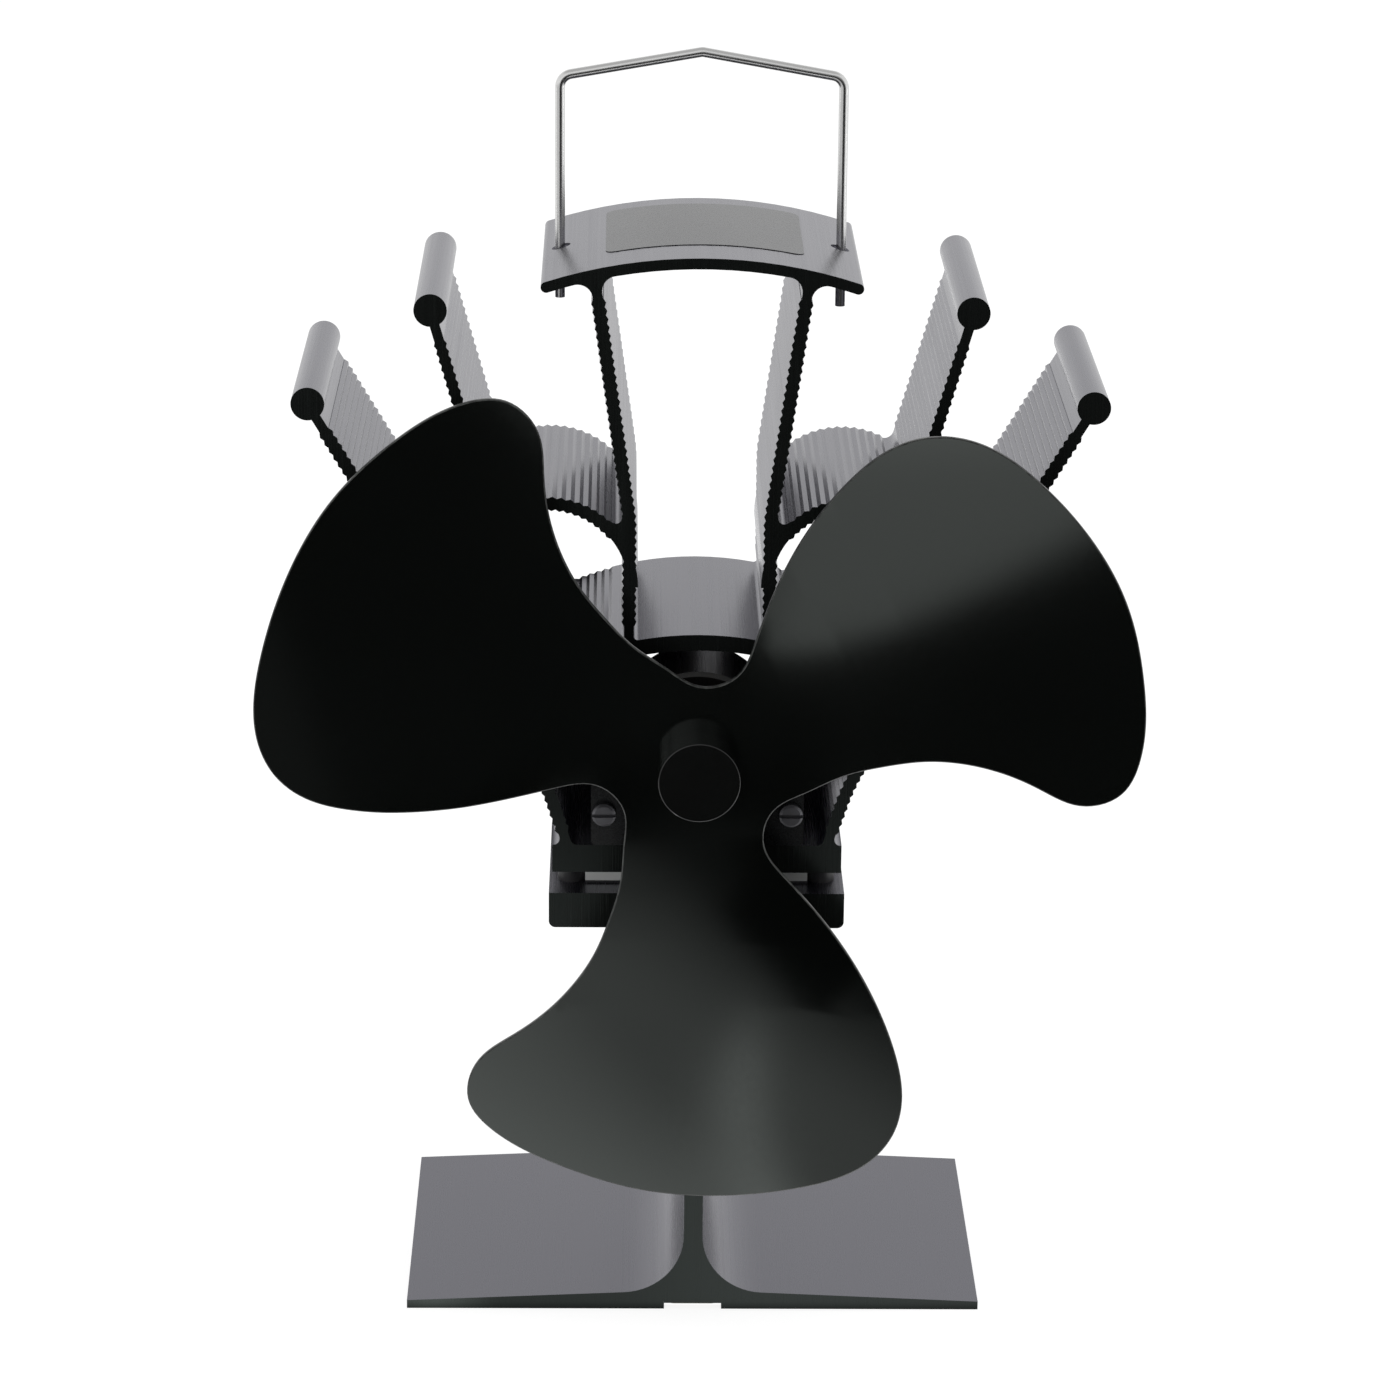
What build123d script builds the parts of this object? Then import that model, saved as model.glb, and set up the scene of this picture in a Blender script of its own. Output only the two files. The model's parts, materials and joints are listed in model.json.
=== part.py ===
import os
from math import acos, atan2, cos, degrees, hypot, radians, sin, sqrt, tan

from build123d import *

# A stove fan driven by the heat of the stove it stands on. A foot takes the heat up a web to a
# thermoelectric module, a finned heat sink above cools the module's other side, and the current
# drives a small motor with a three-bladed fan. Millimetres, +Z up, the fan faces -Y, and the
# origin is the middle of the underside.

# Base stand, one extrusion along Y
base_width = 120.0
base_depth = 75.0
base_height = 93.1
foot_edge_thickness = 1.8
foot_root_thickness = 4.3
web_thickness = 3.9
web_foot_fillet = 13.0
head_overhang = 0.7
head_thickness = 7.5
head_corner_radius = 1.4
web_head_fillet = 3.0

# Bimetal strip in its slot under the foot
strip_width = 10.6
strip_length = 60.0
strip_thickness = 0.6
strip_side_gap = 0.7
strip_roof_gap = 0.2
strip_front_inset = 1.5
strip_back_gap = 4.5
strip_heel = 4.0
rivet_radius = 1.5
rivet_head_radius = 3.0
rivet_head_thickness = 0.3
rivet_head_gap = 0.15
rivet_floor_gap = 0.05
rivet_hole_clearance = 0.3
rivet_depth = 2.0

# Thermoelectric module between the two extrusions
hot_pad_thickness = 0.5
gasket_height = 3.7
gasket_wall = 2.3
gasket_gap = 0.5
module_side = 40.0
ceramic_thickness = 0.8
cold_pad_thickness = 0.2
pellets_per_side = 8
pellet_side = 1.8
pellet_margin = 2.0

# Clamp screws from under the head of the base up into the heat sink
clamp_spacing_y = 40.0
clamp_edge = 3.8
clamp_radius = 1.5
clamp_clearance = 0.1
clamp_head_radius = 2.6
clamp_head_height = 3.0
clamp_bore_gap = 0.2
clamp_bore_depth = 4.0
clamp_socket_side = 2.5
clamp_socket_depth = 1.4
clamp_grip = 4.5
washer_thickness = 0.7
washer_rim = 0.25
bush_wall = 1.15
bush_gap = 0.15

# Heat sink, one extrusion along Y
sink_depth = 56.0
sink_setback = 1.0
flange_thickness = 5.9
bay_gap = 4.7
arch_thickness = 3.3
arch_radius = 66.5
wall_thickness = 3.0
upper_fin_thickness = 2.65
rib_height = 0.4
rib_pitch = 1.7
rib_step = 0.1
outer_fin_ledge = 2.5
outer_fin_bend_reach = 5.3
outer_fin_bend_rise = 13.4
outer_fin_bend_radius = 40.0
outer_fin_tip_x = 77.9
outer_fin_tip_rise = 92.3
outer_knob_radius = 3.35
arm_half_spacing = 14.1
arm_bend_rise = 23.9
arm_bend_radius = 30.0
arm_top_x = 21.2
lobe_radius = 17.3
lobe_rise = 9.9
lobe_overlap = 0.8
upper_fin_foot_angle = 52.0
upper_fin_tip_x = 53.5
upper_fin_tip_rise = 66.5
upper_knob_radius = 3.3
top_plate_thickness = 2.2
top_plate_half_span = 30.7
top_plate_end_rise = 71.3
top_plate_sag = 4.9
join_fillet = 2.0
foot_fillet = 0.8
root_fillet = 1.3
plate_fillet = 3.0
rib_start_gap = 3.0
valley_radius = 1.2
port_wall = 1.3
port_web = 2.2
port_slot = 1.4

# Carry handle, a bent wire
wire_radius = 1.0
handle_end_inset = 2.35
handle_corner_rise = 34.8
handle_peak_rise = 39.8
handle_left_drop = 10.3
handle_right_drop = 11.8
handle_bend_radius = 2.6
handle_peak_radius = 2.0
handle_hole_clearance = 0.15
handle_countersink = 0.95

# Motor
can_radius = 16.1
can_wall = 0.8
can_length = 19.7
can_corner = 0.8
boss_wall = 0.9
boss_length = 1.5
bearing_radius = 2.2
bearing_length = 2.6
end_cap_thickness = 3.0
end_cap_rim = 0.6
end_cap_boss_wall = 2.0
end_cap_boss_length = 1.6
magnet_thickness = 3.6
magnet_length = 12.0
magnet_angle = 130.0
magnet_gap = 0.05
air_gap = 0.5
core_length = 9.0
core_setback = 1.5
core_slots = 3
core_neck_width = 3.4
core_hub_radius = 3.2
core_shoe_thickness = 1.8
core_slot_mouth = 1.6
coil_build = 1.3
coil_gap = 0.1
commutator_radius = 2.2
commutator_length = 3.2
commutator_slit = 0.3
brush_width = 1.4
brush_thickness = 0.3
brush_length = 7.0
brush_gap = 0.15
bearing_clearance = 0.06
terminal_width = 2.0
terminal_thickness = 0.5
terminal_length = 5.0
terminal_root = 2.0
terminal_offset = 9.0
shaft_radius = 1.0
shaft_fit = 0.02
shaft_tail = 0.8
shaft_chamfer = 0.2

# Motor mount, a stamped plate across the front of the bay
mount_thickness = 1.5
mount_half_width = 21.6
mount_side_rise = 16.0
mount_top_radius = 12.5
mount_floor_gap = 0.5
mount_corner_radius = 1.0
mount_boss_gap = 0.1
mount_screw_inset = 2.6
mount_screw_rise = 7.3
mount_screw_radius = 1.25
mount_screw_depth = 6.0
mount_head_radius = 2.4
mount_head_height = 1.6
motor_screw_offset = 8.5
motor_screw_radius = 1.0
motor_head_radius = 1.8
motor_head_height = 1.1
screw_clearance = 0.1
screw_slot_share = 0.3
screw_slot_depth_share = 0.5
screw_chamfer_share = 0.3

# Fan
blade_radius = 91.4
blade_thickness = 1.2
blade_standoff = 12.2
blade_count = 3
blade_root = 14.0
blade_pitch = 10.4
blade_bow = 5.5
blade_dish = 3.4
blade_half_chord = 50.0
blade_overrun = 4.0
blade_bore = 4.0
hub_radius = 6.0
hub_length = 8.0
hub_spigot_clearance = 0.05
hub_spigot_length = 5.0
cap_radius = 8.2
cap_gap = 1.2
cap_chamfer = 0.7
cap_floor = 2.0
grub_radius = 1.5
grub_socket_side = 1.5
grub_socket_depth = 1.2
grub_clearance = 0.05

# The blade's edge, from the valley before it to the valley behind it, in shares of the blade
# radius: outwards along the blade first, then across it
valley_share = 0.191
blade_edge_shares = [
    (0.173, -0.164),
    (0.262, -0.171),
    (0.350, -0.195),
    (0.435, -0.229),
    (0.509, -0.277),
    (0.574, -0.339),
    (0.627, -0.411),
    (0.684, -0.485),
    (0.778, -0.509),
    (0.853, -0.459),
    (0.943, -0.303),
    (0.993, -0.129),
    (0.996, 0.052),
    (0.961, 0.229),
    (0.879, 0.390),
    (0.806, 0.441),
    (0.722, 0.456),
    (0.630, 0.439),
    (0.547, 0.407),
    (0.382, 0.308),
    (0.246, 0.191),
    (0.177, 0.146),
]
# Where the blade's cross-sections lie between its root and its tip, and how far each has bowed
section_shares = [(0.0, 0.0), (0.12, 0.2), (0.28, 0.75), (0.45, 1.0), (0.7, 1.0), (1.0, 1.0)]

# Sizes that follow from the pieces they fit
slot_width = strip_width + 2 * strip_side_gap
slot_length = strip_front_inset + strip_length + strip_back_gap
rivet_head_reach = rivet_head_gap + rivet_head_thickness + rivet_floor_gap
slot_depth = strip_roof_gap + strip_thickness + rivet_head_reach
gasket_side = module_side + 2 * (gasket_gap + gasket_wall)
bush_radius = clamp_radius + clamp_clearance + bush_wall
washer_radius = clamp_head_radius + washer_rim
clamp_bore_radius = washer_radius + clamp_bore_gap
clamp_spacing_x = gasket_side + 2 * (bush_gap + bush_radius)
flange_half_width = clamp_spacing_x / 2 + clamp_edge
head_width = 2 * (flange_half_width + head_overhang)
boss_radius = bearing_radius + boss_wall
end_cap_boss_radius = bearing_radius + end_cap_boss_wall
cap_length = hub_spigot_length + cap_gap + cap_floor
port_radius = mount_screw_radius + port_wall
mount_screw_offset = mount_half_width - mount_screw_inset

# Heights and depths that follow
base_front = -base_depth / 2
head_bottom = base_height - head_thickness
gasket_bottom = base_height + hot_pad_thickness
sink_bottom = gasket_bottom + gasket_height
floor_height = sink_bottom + flange_thickness
axis_height = floor_height + can_radius + bay_gap
bay_top = axis_height + can_radius + bay_gap
arch_top = bay_top + arch_thickness
sink_front = base_front + sink_setback
sink_back = sink_front + sink_depth
sink_middle = (sink_front + sink_back) / 2
motor_back = sink_front + can_length
mount_front = sink_front - mount_thickness
mount_bottom = floor_height + mount_floor_gap
blade_back = sink_front - blade_standoff
blade_front = blade_back - blade_thickness
rib_core = wall_thickness - 2 * rib_height - 2 * rib_step


def level(height, depth=0.0):
    """A plane that faces up at this height, centred on this depth."""
    return Plane((0, depth, height))


def facing(depth, height=0.0):
    """A plane that faces the front at this depth, with its own Y up."""
    return Plane((0, depth, height), x_dir=(1, 0, 0), z_dir=(0, -1, 0))


def near(shapes, point, reach):
    """The vertices within reach of a point of the sketch."""
    return [v for v in shapes if hypot(v.X - point[0], v.Y - point[1]) < reach]


def circle_point(centre, radius, angle):
    return (centre[0] + radius * cos(radians(angle)), centre[1] + radius * sin(radians(angle)))


def meeting_point(centre, radius, start, end):
    """Where the line from start to end last crosses the circle."""
    run = (end[0] - start[0], end[1] - start[1])
    offset = (start[0] - centre[0], start[1] - centre[1])
    a = run[0] ** 2 + run[1] ** 2
    b = 2 * (run[0] * offset[0] + run[1] * offset[1])
    c = offset[0] ** 2 + offset[1] ** 2 - radius**2
    share = (-b + sqrt(b * b - 4 * a * c)) / (2 * a)
    return (start[0] + run[0] * share, start[1] + run[1] * share)


def ribbed_sides(path, thickness, start, end):
    """A closed outline round a stretch of the path, with a rib each pitch along both sides."""
    steps = 2 * max(2, round((end - start) / rib_pitch))
    sides = ([], [])
    for i in range(steps + 1):
        distance = start + (end - start) * i / steps
        point = path.position_at(distance, position_mode=PositionMode.LENGTH)
        along = path.tangent_at(distance, position_mode=PositionMode.LENGTH)
        across = Vector(-along.Y, along.X, 0)
        reach = thickness / 2 - rib_height * (1 - i % 2)
        sides[0].append(point + across * reach)
        sides[1].append(point - across * reach)
    return sides[0] + sides[1][::-1]


def arch_grooves():
    """A closed outline of V grooves in the top of the arch, from the arm to the outer fin."""
    start = acos((arch_end[0] - wall_thickness) / arch_radius)
    end = acos((arm_half_spacing + wall_thickness / 2 + join_fillet) / arch_radius)
    steps = 2 * round((end - start) * arch_radius / rib_pitch)
    sides = ([], [])
    for i in range(steps + 1):
        angle = degrees(start + (end - start) * i / steps)
        sides[0].append(circle_point(arch_centre, arch_radius - rib_height * (i % 2), angle))
        sides[1].append(circle_point(arch_centre, arch_radius + rib_height, angle))
    return sides[0] + sides[1][::-1]


# Base stand: foot, web and head in one profile, slot for the strip, counterbored screw holes
with BuildPart() as base_stand:
    with BuildSketch(facing(-base_front)) as base_profile:
        with BuildLine():
            Polyline(
                (0, 0),
                (base_width / 2, 0),
                (base_width / 2, foot_edge_thickness),
                (web_thickness / 2, foot_root_thickness),
                (web_thickness / 2, head_bottom),
                (head_width / 2, head_bottom),
                (head_width / 2, base_height),
                (0, base_height),
                close=True,
            )
        make_face()
        mirror(about=Plane.YZ)
        for side in (-1, 1):
            web_side = side * web_thickness / 2
            head_side = side * head_width / 2
            for corner, radius in (
                ((web_side, foot_root_thickness), web_foot_fillet),
                ((web_side, head_bottom), web_head_fillet),
                ((head_side, head_bottom), head_corner_radius),
            ):
                fillet(near(base_profile.vertices(), corner, web_thickness / 2), radius)
    extrude(amount=base_depth)
    with BuildSketch(level(0, base_front)):
        Rectangle(slot_width, slot_length, align=(Align.CENTER, Align.MIN))
    extrude(amount=slot_depth, mode=Mode.SUBTRACT)
    with BuildSketch(level(0, base_front + strip_front_inset + strip_length - strip_heel)):
        Circle(rivet_radius)
    extrude(amount=slot_depth + rivet_depth, mode=Mode.SUBTRACT)
    with BuildSketch(level(head_bottom, sink_middle)):
        with GridLocations(clamp_spacing_x, clamp_spacing_y, 2, 2):
            Circle(clamp_radius + clamp_clearance)
    extrude(amount=head_thickness, mode=Mode.SUBTRACT)
    with BuildSketch(level(head_bottom, sink_middle)):
        with GridLocations(clamp_spacing_x, clamp_spacing_y, 2, 2):
            Circle(clamp_bore_radius)
    extrude(amount=clamp_bore_depth, mode=Mode.SUBTRACT)
base_stand.part.label = "base_stand"

# Bimetal strip, which bends down when the stove is too hot and lifts the front of the fan
strip_back = base_front + strip_front_inset + strip_length
strip_top = slot_depth - strip_roof_gap
strip_bottom = strip_top - strip_thickness
rivet_depth_place = strip_back - strip_heel
with BuildPart() as bimetal_strip:
    with BuildSketch(level(strip_bottom, (base_front + strip_front_inset + strip_back) / 2)):
        RectangleRounded(strip_width, strip_length, rivet_radius)
    extrude(amount=strip_thickness)
    with BuildSketch(level(strip_bottom, rivet_depth_place)):
        Circle(rivet_radius + rivet_hole_clearance)
    extrude(amount=strip_thickness, mode=Mode.SUBTRACT)
bimetal_strip.part.label = "bimetal_strip"

# Rivet that holds the strip's rear end
rivet_head_bottom = strip_bottom - rivet_head_gap - rivet_head_thickness
with BuildPart() as bimetal_rivet:
    with BuildSketch(level(rivet_head_bottom, rivet_depth_place)):
        Circle(rivet_head_radius)
    extrude(amount=rivet_head_thickness)
    with BuildSketch(level(rivet_head_bottom, rivet_depth_place)):
        Circle(rivet_radius - shaft_fit)
    extrude(amount=slot_depth + rivet_depth - rivet_head_bottom)
bimetal_rivet.part.label = "bimetal_rivet"

# Thermal pad on the hot side, under the module and its gasket
with BuildPart() as hot_side_pad:
    with BuildSketch(level(base_height, sink_middle)):
        Rectangle(gasket_side, gasket_side)
    extrude(amount=hot_pad_thickness)
hot_side_pad.part.label = "hot_side_pad"

# Gasket round the module
with BuildPart() as module_gasket:
    with BuildSketch(level(gasket_bottom, sink_middle)):
        Rectangle(gasket_side, gasket_side)
        Rectangle(gasket_side - 2 * gasket_wall, gasket_side - 2 * gasket_wall, mode=Mode.SUBTRACT)
    extrude(amount=gasket_height)
module_gasket.part.label = "module_gasket"

# Hot ceramic plate of the module
with BuildPart() as hot_ceramic:
    with BuildSketch(level(gasket_bottom, sink_middle)):
        Rectangle(module_side, module_side)
    extrude(amount=ceramic_thickness)
hot_ceramic.part.label = "hot_ceramic"

# Cold ceramic plate of the module
cold_ceramic_bottom = sink_bottom - cold_pad_thickness - ceramic_thickness
with BuildPart() as cold_ceramic:
    with BuildSketch(level(cold_ceramic_bottom, sink_middle)):
        Rectangle(module_side, module_side)
    extrude(amount=ceramic_thickness)
cold_ceramic.part.label = "cold_ceramic"

# Semiconductor pellets between the plates
pellet_bottom = gasket_bottom + ceramic_thickness
pellet_pitch = (module_side - 2 * pellet_margin - pellet_side) / (pellets_per_side - 1)
with BuildPart() as thermo_pellets:
    with BuildSketch(level(pellet_bottom, sink_middle)):
        with GridLocations(pellet_pitch, pellet_pitch, pellets_per_side, pellets_per_side):
            Rectangle(pellet_side, pellet_side)
    extrude(amount=cold_ceramic_bottom - pellet_bottom)
thermo_pellets.part.label = "thermo_pellets"

# Thermal pad on the cold side
with BuildPart() as cold_side_pad:
    with BuildSketch(level(sink_bottom - cold_pad_thickness, sink_middle)):
        Rectangle(module_side, module_side)
    extrude(amount=cold_pad_thickness)
cold_side_pad.part.label = "cold_side_pad"

# Four clamp screws with hexagon sockets, heads down
clamp_seat = head_bottom + clamp_bore_depth - washer_thickness
with BuildPart() as clamp_screws:
    with BuildSketch(level(clamp_seat - clamp_head_height, sink_middle)):
        with GridLocations(clamp_spacing_x, clamp_spacing_y, 2, 2):
            Circle(clamp_head_radius)
    extrude(amount=clamp_head_height)
    with BuildSketch(level(clamp_seat, sink_middle)):
        with GridLocations(clamp_spacing_x, clamp_spacing_y, 2, 2):
            Circle(clamp_radius)
    extrude(amount=sink_bottom + clamp_grip - clamp_seat)
    with BuildSketch(level(clamp_seat - clamp_head_height, sink_middle)):
        with GridLocations(clamp_spacing_x, clamp_spacing_y, 2, 2):
            RegularPolygon(clamp_socket_side / 2, 6, major_radius=False)
    extrude(amount=clamp_socket_depth, mode=Mode.SUBTRACT)
clamp_screws.part.label = "clamp_screws"

# Spring washers under their heads
with BuildPart() as spring_washers:
    with BuildSketch(level(clamp_seat, sink_middle)):
        with GridLocations(clamp_spacing_x, clamp_spacing_y, 2, 2):
            Circle(washer_radius)
            Circle(clamp_radius + clamp_clearance, mode=Mode.SUBTRACT)
    extrude(amount=washer_thickness)
spring_washers.part.label = "spring_washers"

# Insulating bushes, which keep the screws from bridging the heat across the gap
with BuildPart() as insulating_bushes:
    with BuildSketch(level(base_height, sink_middle)):
        with GridLocations(clamp_spacing_x, clamp_spacing_y, 2, 2):
            Circle(bush_radius)
            Circle(clamp_radius + clamp_clearance, mode=Mode.SUBTRACT)
    extrude(amount=sink_bottom - base_height)
insulating_bushes.part.label = "insulating_bushes"

# Heat sink: centre lines of its walls on the right, from the bay's floor up
outer_fin_root_x = flange_half_width - outer_fin_ledge - wall_thickness / 2
outer_fin_root = (outer_fin_root_x, floor_height - flange_thickness / 2)
outer_fin_bend = (outer_fin_root_x + outer_fin_bend_reach, floor_height + outer_fin_bend_rise)
outer_fin_tip = (outer_fin_tip_x, floor_height + outer_fin_tip_rise)
arch_middle_radius = arch_radius - arch_thickness / 2
arch_centre = (0, arch_top - arch_radius)
arch_end = meeting_point(arch_centre, arch_middle_radius, outer_fin_bend, outer_fin_tip)
arm_bend = (arm_half_spacing, arch_top + arm_bend_rise)
lobe_centre = (arm_half_spacing + lobe_radius - lobe_overlap, arch_top + lobe_rise)
lobe_side = (lobe_centre[0] + lobe_radius, lobe_centre[1])
lobe_foot_share = (lobe_side[0] - outer_fin_bend[0]) / (outer_fin_tip[0] - outer_fin_bend[0])
lobe_foot_rise = lobe_foot_share * (outer_fin_tip[1] - outer_fin_bend[1])
lobe_foot = (lobe_side[0], outer_fin_bend[1] + lobe_foot_rise)
lobe_crown = (lobe_centre[0], lobe_centre[1] + lobe_radius)
lobe_start = (lobe_centre[0] - lobe_radius, lobe_centre[1])
upper_fin_foot = circle_point(lobe_centre, lobe_radius, upper_fin_foot_angle)
upper_fin_tip = (upper_fin_tip_x, arch_top + upper_fin_tip_rise)
plate_end = (top_plate_half_span, arch_top + top_plate_end_rise)
plate_crown = (0, plate_end[1] + top_plate_sag)
plate_radius = (top_plate_half_span**2 + top_plate_sag**2) / (2 * top_plate_sag)


def plate_height(x):
    """Height of the top plate's middle surface at this distance from the centre."""
    return plate_crown[1] - plate_radius + sqrt(plate_radius**2 - x**2)


arm_foot_height = arch_centre[1] + sqrt(arch_middle_radius**2 - arm_half_spacing**2)
arm_foot = (arm_half_spacing, arm_foot_height)
arm_top = (arm_top_x, plate_height(arm_top_x))
lobe_inset = lobe_radius - lobe_overlap
lobe_valley = (arm_half_spacing, lobe_centre[1] + sqrt(lobe_radius**2 - lobe_inset**2))
valley_x = arm_half_spacing + wall_thickness / 2 + valley_radius
valley_reach = lobe_radius + wall_thickness / 2 + valley_radius
valley_centre = (valley_x, lobe_centre[1] + sqrt(valley_reach**2 - (lobe_centre[0] - valley_x) ** 2))
valley_turn = degrees(atan2(valley_centre[1] - lobe_centre[1], valley_centre[0] - lobe_centre[0]))
valley_web = [
    lobe_valley,
    circle_point(lobe_centre, lobe_radius, valley_turn),
    valley_centre,
    (arm_half_spacing, valley_centre[1]),
]
outer_fin_lean = (outer_fin_bend[0] - outer_fin_root[0]) / (outer_fin_bend[1] - outer_fin_root[1])
outer_fin_base = (outer_fin_root[0] + outer_fin_lean * flange_thickness / 2, floor_height)

with BuildLine(mode=Mode.PRIVATE) as outer_fin_line:
    FilletPolyline(outer_fin_root, outer_fin_bend, outer_fin_tip, radius=outer_fin_bend_radius)
with BuildLine(mode=Mode.PRIVATE) as arm_line:
    FilletPolyline(arm_foot, arm_bend, arm_top, radius=arm_bend_radius)
with BuildLine(mode=Mode.PRIVATE) as lobe_line:
    ThreePointArc(lobe_start, lobe_crown, lobe_side)
with BuildLine(mode=Mode.PRIVATE) as lobe_leg_line:
    Line(lobe_side, lobe_foot)
with BuildLine(mode=Mode.PRIVATE) as upper_fin_line:
    Line(upper_fin_foot, upper_fin_tip)
with BuildLine(mode=Mode.PRIVATE) as arch_line:
    ThreePointArc((-arch_end[0], arch_end[1]), (0, arch_centre[1] + arch_middle_radius), arch_end)
with BuildLine(mode=Mode.PRIVATE) as plate_line:
    ThreePointArc((-plate_end[0], plate_end[1]), plate_crown, plate_end)

# Each joint with fillets: its place, how far from it its corners lie, and their radius
filleted_joints = [
    (arch_end, 2 * wall_thickness, join_fillet),
    (arm_foot, 2 * wall_thickness, foot_fillet),
    (upper_fin_foot, 2 * wall_thickness, join_fillet),
    (lobe_foot, 2 * wall_thickness, join_fillet),
    (arm_top, wall_thickness, plate_fillet),
    (outer_fin_base, rib_core, root_fillet),
]

# Each ribbed wall: its centre line, its thickness over the ribs, and the bare stretch at each end
arm_rib_end = join_fillet + plate_fillet
outer_rib_start = flange_thickness / 2 + rib_start_gap
knob_bare = outer_knob_radius + rib_start_gap
ribbed_walls = [
    (outer_fin_line, wall_thickness, outer_rib_start, knob_bare),
    (arm_line, wall_thickness, rib_start_gap + join_fillet, arm_rib_end),
    (upper_fin_line, upper_fin_thickness, rib_start_gap + join_fillet, knob_bare),
    (lobe_leg_line, wall_thickness, 0, rib_start_gap + join_fillet),
    (lobe_line, wall_thickness, lobe_radius / 2 + rib_start_gap, 0),
]

with BuildPart() as heat_sink:
    with BuildSketch(facing(sink_back)) as sink_profile:
        with Locations((0, sink_bottom)):
            Rectangle(2 * flange_half_width, flange_thickness, align=(Align.CENTER, Align.MIN))
        trace(outer_fin_line.line, rib_core)
        trace(arm_line.line, rib_core)
        trace(lobe_line.line, rib_core)
        trace(lobe_leg_line.line, rib_core)
        trace(upper_fin_line.line, rib_core)
        mirror(about=Plane.YZ)
        trace(arch_line.line, arch_thickness)
        trace(plate_line.line, top_plate_thickness)
        corners = sink_profile.vertices()
        for place, reach, radius in filleted_joints:
            for side in (-1, 1):
                for corner in near(corners, (side * place[0], place[1]), reach):
                    fillet(near(sink_profile.vertices(), (corner.X, corner.Y), rib_step), radius)
        for side in (-1, 1):
            with Locations((side * outer_fin_tip[0], outer_fin_tip[1])):
                Circle(outer_knob_radius)
            with Locations((side * upper_fin_tip[0], upper_fin_tip[1])):
                Circle(upper_knob_radius)
            with Locations((side * plate_end[0], plate_end[1])):
                Circle(top_plate_thickness / 2)
        for centre_line, thickness, bare_start, bare_end in ribbed_walls:
            wall = centre_line.wire()
            outline = ribbed_sides(wall, thickness, bare_start, wall.length - bare_end)
            for side in (-1, 1):
                with BuildLine():
                    Polyline(*[(side * p.X, p.Y) for p in outline], close=True)
                make_face()
        for side in (-1, 1):
            with BuildLine():
                Polyline(*[(side * x, z) for x, z in valley_web], close=True)
            make_face()
            with Locations((side * valley_centre[0], valley_centre[1])):
                Circle(valley_radius, mode=Mode.SUBTRACT)
            with BuildLine():
                Polyline(*[(side * x, z) for x, z in arch_grooves()], close=True)
            make_face(mode=Mode.SUBTRACT)
            with Locations((side * mount_screw_offset, floor_height)):
                Rectangle(port_web, mount_screw_rise, align=(Align.CENTER, Align.MIN))
            with Locations((side * mount_screw_offset, floor_height + mount_screw_rise)):
                Circle(port_radius)
                Circle(mount_screw_radius + shaft_fit, mode=Mode.SUBTRACT)
                Rectangle(port_slot, port_radius, align=(Align.CENTER, Align.MIN), mode=Mode.SUBTRACT)
    extrude(amount=sink_depth)
    with BuildSketch(level(sink_bottom, sink_middle)):
        with GridLocations(clamp_spacing_x, clamp_spacing_y, 2, 2):
            Circle(clamp_radius + shaft_fit)
    extrude(amount=clamp_grip + clamp_clearance, mode=Mode.SUBTRACT)
    handle_half_width = top_plate_half_span - handle_end_inset
    hole_top = plate_height(handle_half_width) + top_plate_thickness / 2
    hole_radius = wire_radius + handle_hole_clearance
    with Locations((-handle_half_width, sink_middle, hole_top), (handle_half_width, sink_middle, hole_top)):
        CounterSinkHole(hole_radius, hole_radius + handle_countersink, depth=2 * top_plate_thickness)
heat_sink.part.label = "heat_sink"

# Carry handle: one wire, sprung into its holes, cut off below the plate
handle_corners = [
    (-handle_half_width, hole_top - handle_left_drop),
    (-handle_half_width, hole_top + handle_corner_rise),
    (0, hole_top + handle_peak_rise),
    (handle_half_width, hole_top + handle_corner_rise),
    (handle_half_width, hole_top - handle_right_drop),
]
with BuildPart() as carry_handle:
    with BuildLine(facing(sink_middle)) as handle_path:
        FilletPolyline(*handle_corners, radius=[handle_bend_radius, handle_peak_radius, handle_bend_radius])
    with BuildSketch(Plane((-handle_half_width, sink_middle, hole_top - handle_left_drop))):
        Circle(wire_radius)
    sweep(path=handle_path.line)
carry_handle.part.label = "carry_handle"

# Motor mount: a plate that carries the motor, screwed to the two ports in the bay
mount_screw_height = floor_height + mount_screw_rise
with BuildPart() as motor_mount:
    with BuildSketch(facing(sink_front, axis_height)) as mount_profile:
        Circle(mount_top_radius)
        with Locations((0, mount_bottom - axis_height)):
            Rectangle(2 * mount_half_width, mount_side_rise, align=(Align.CENTER, Align.MIN))
        make_hull()
        fillet(mount_profile.vertices().group_by(Axis.Y)[0], mount_corner_radius)
        Circle(boss_radius + mount_boss_gap, mode=Mode.SUBTRACT)
        with GridLocations(2 * motor_screw_offset, 0, 2, 1):
            Circle(motor_screw_radius + screw_clearance, mode=Mode.SUBTRACT)
        with Locations((0, mount_screw_height - axis_height)):
            with GridLocations(2 * mount_screw_offset, 0, 2, 1):
                Circle(mount_screw_radius + screw_clearance, mode=Mode.SUBTRACT)
    extrude(amount=mount_thickness)
motor_mount.part.label = "motor_mount"

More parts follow.
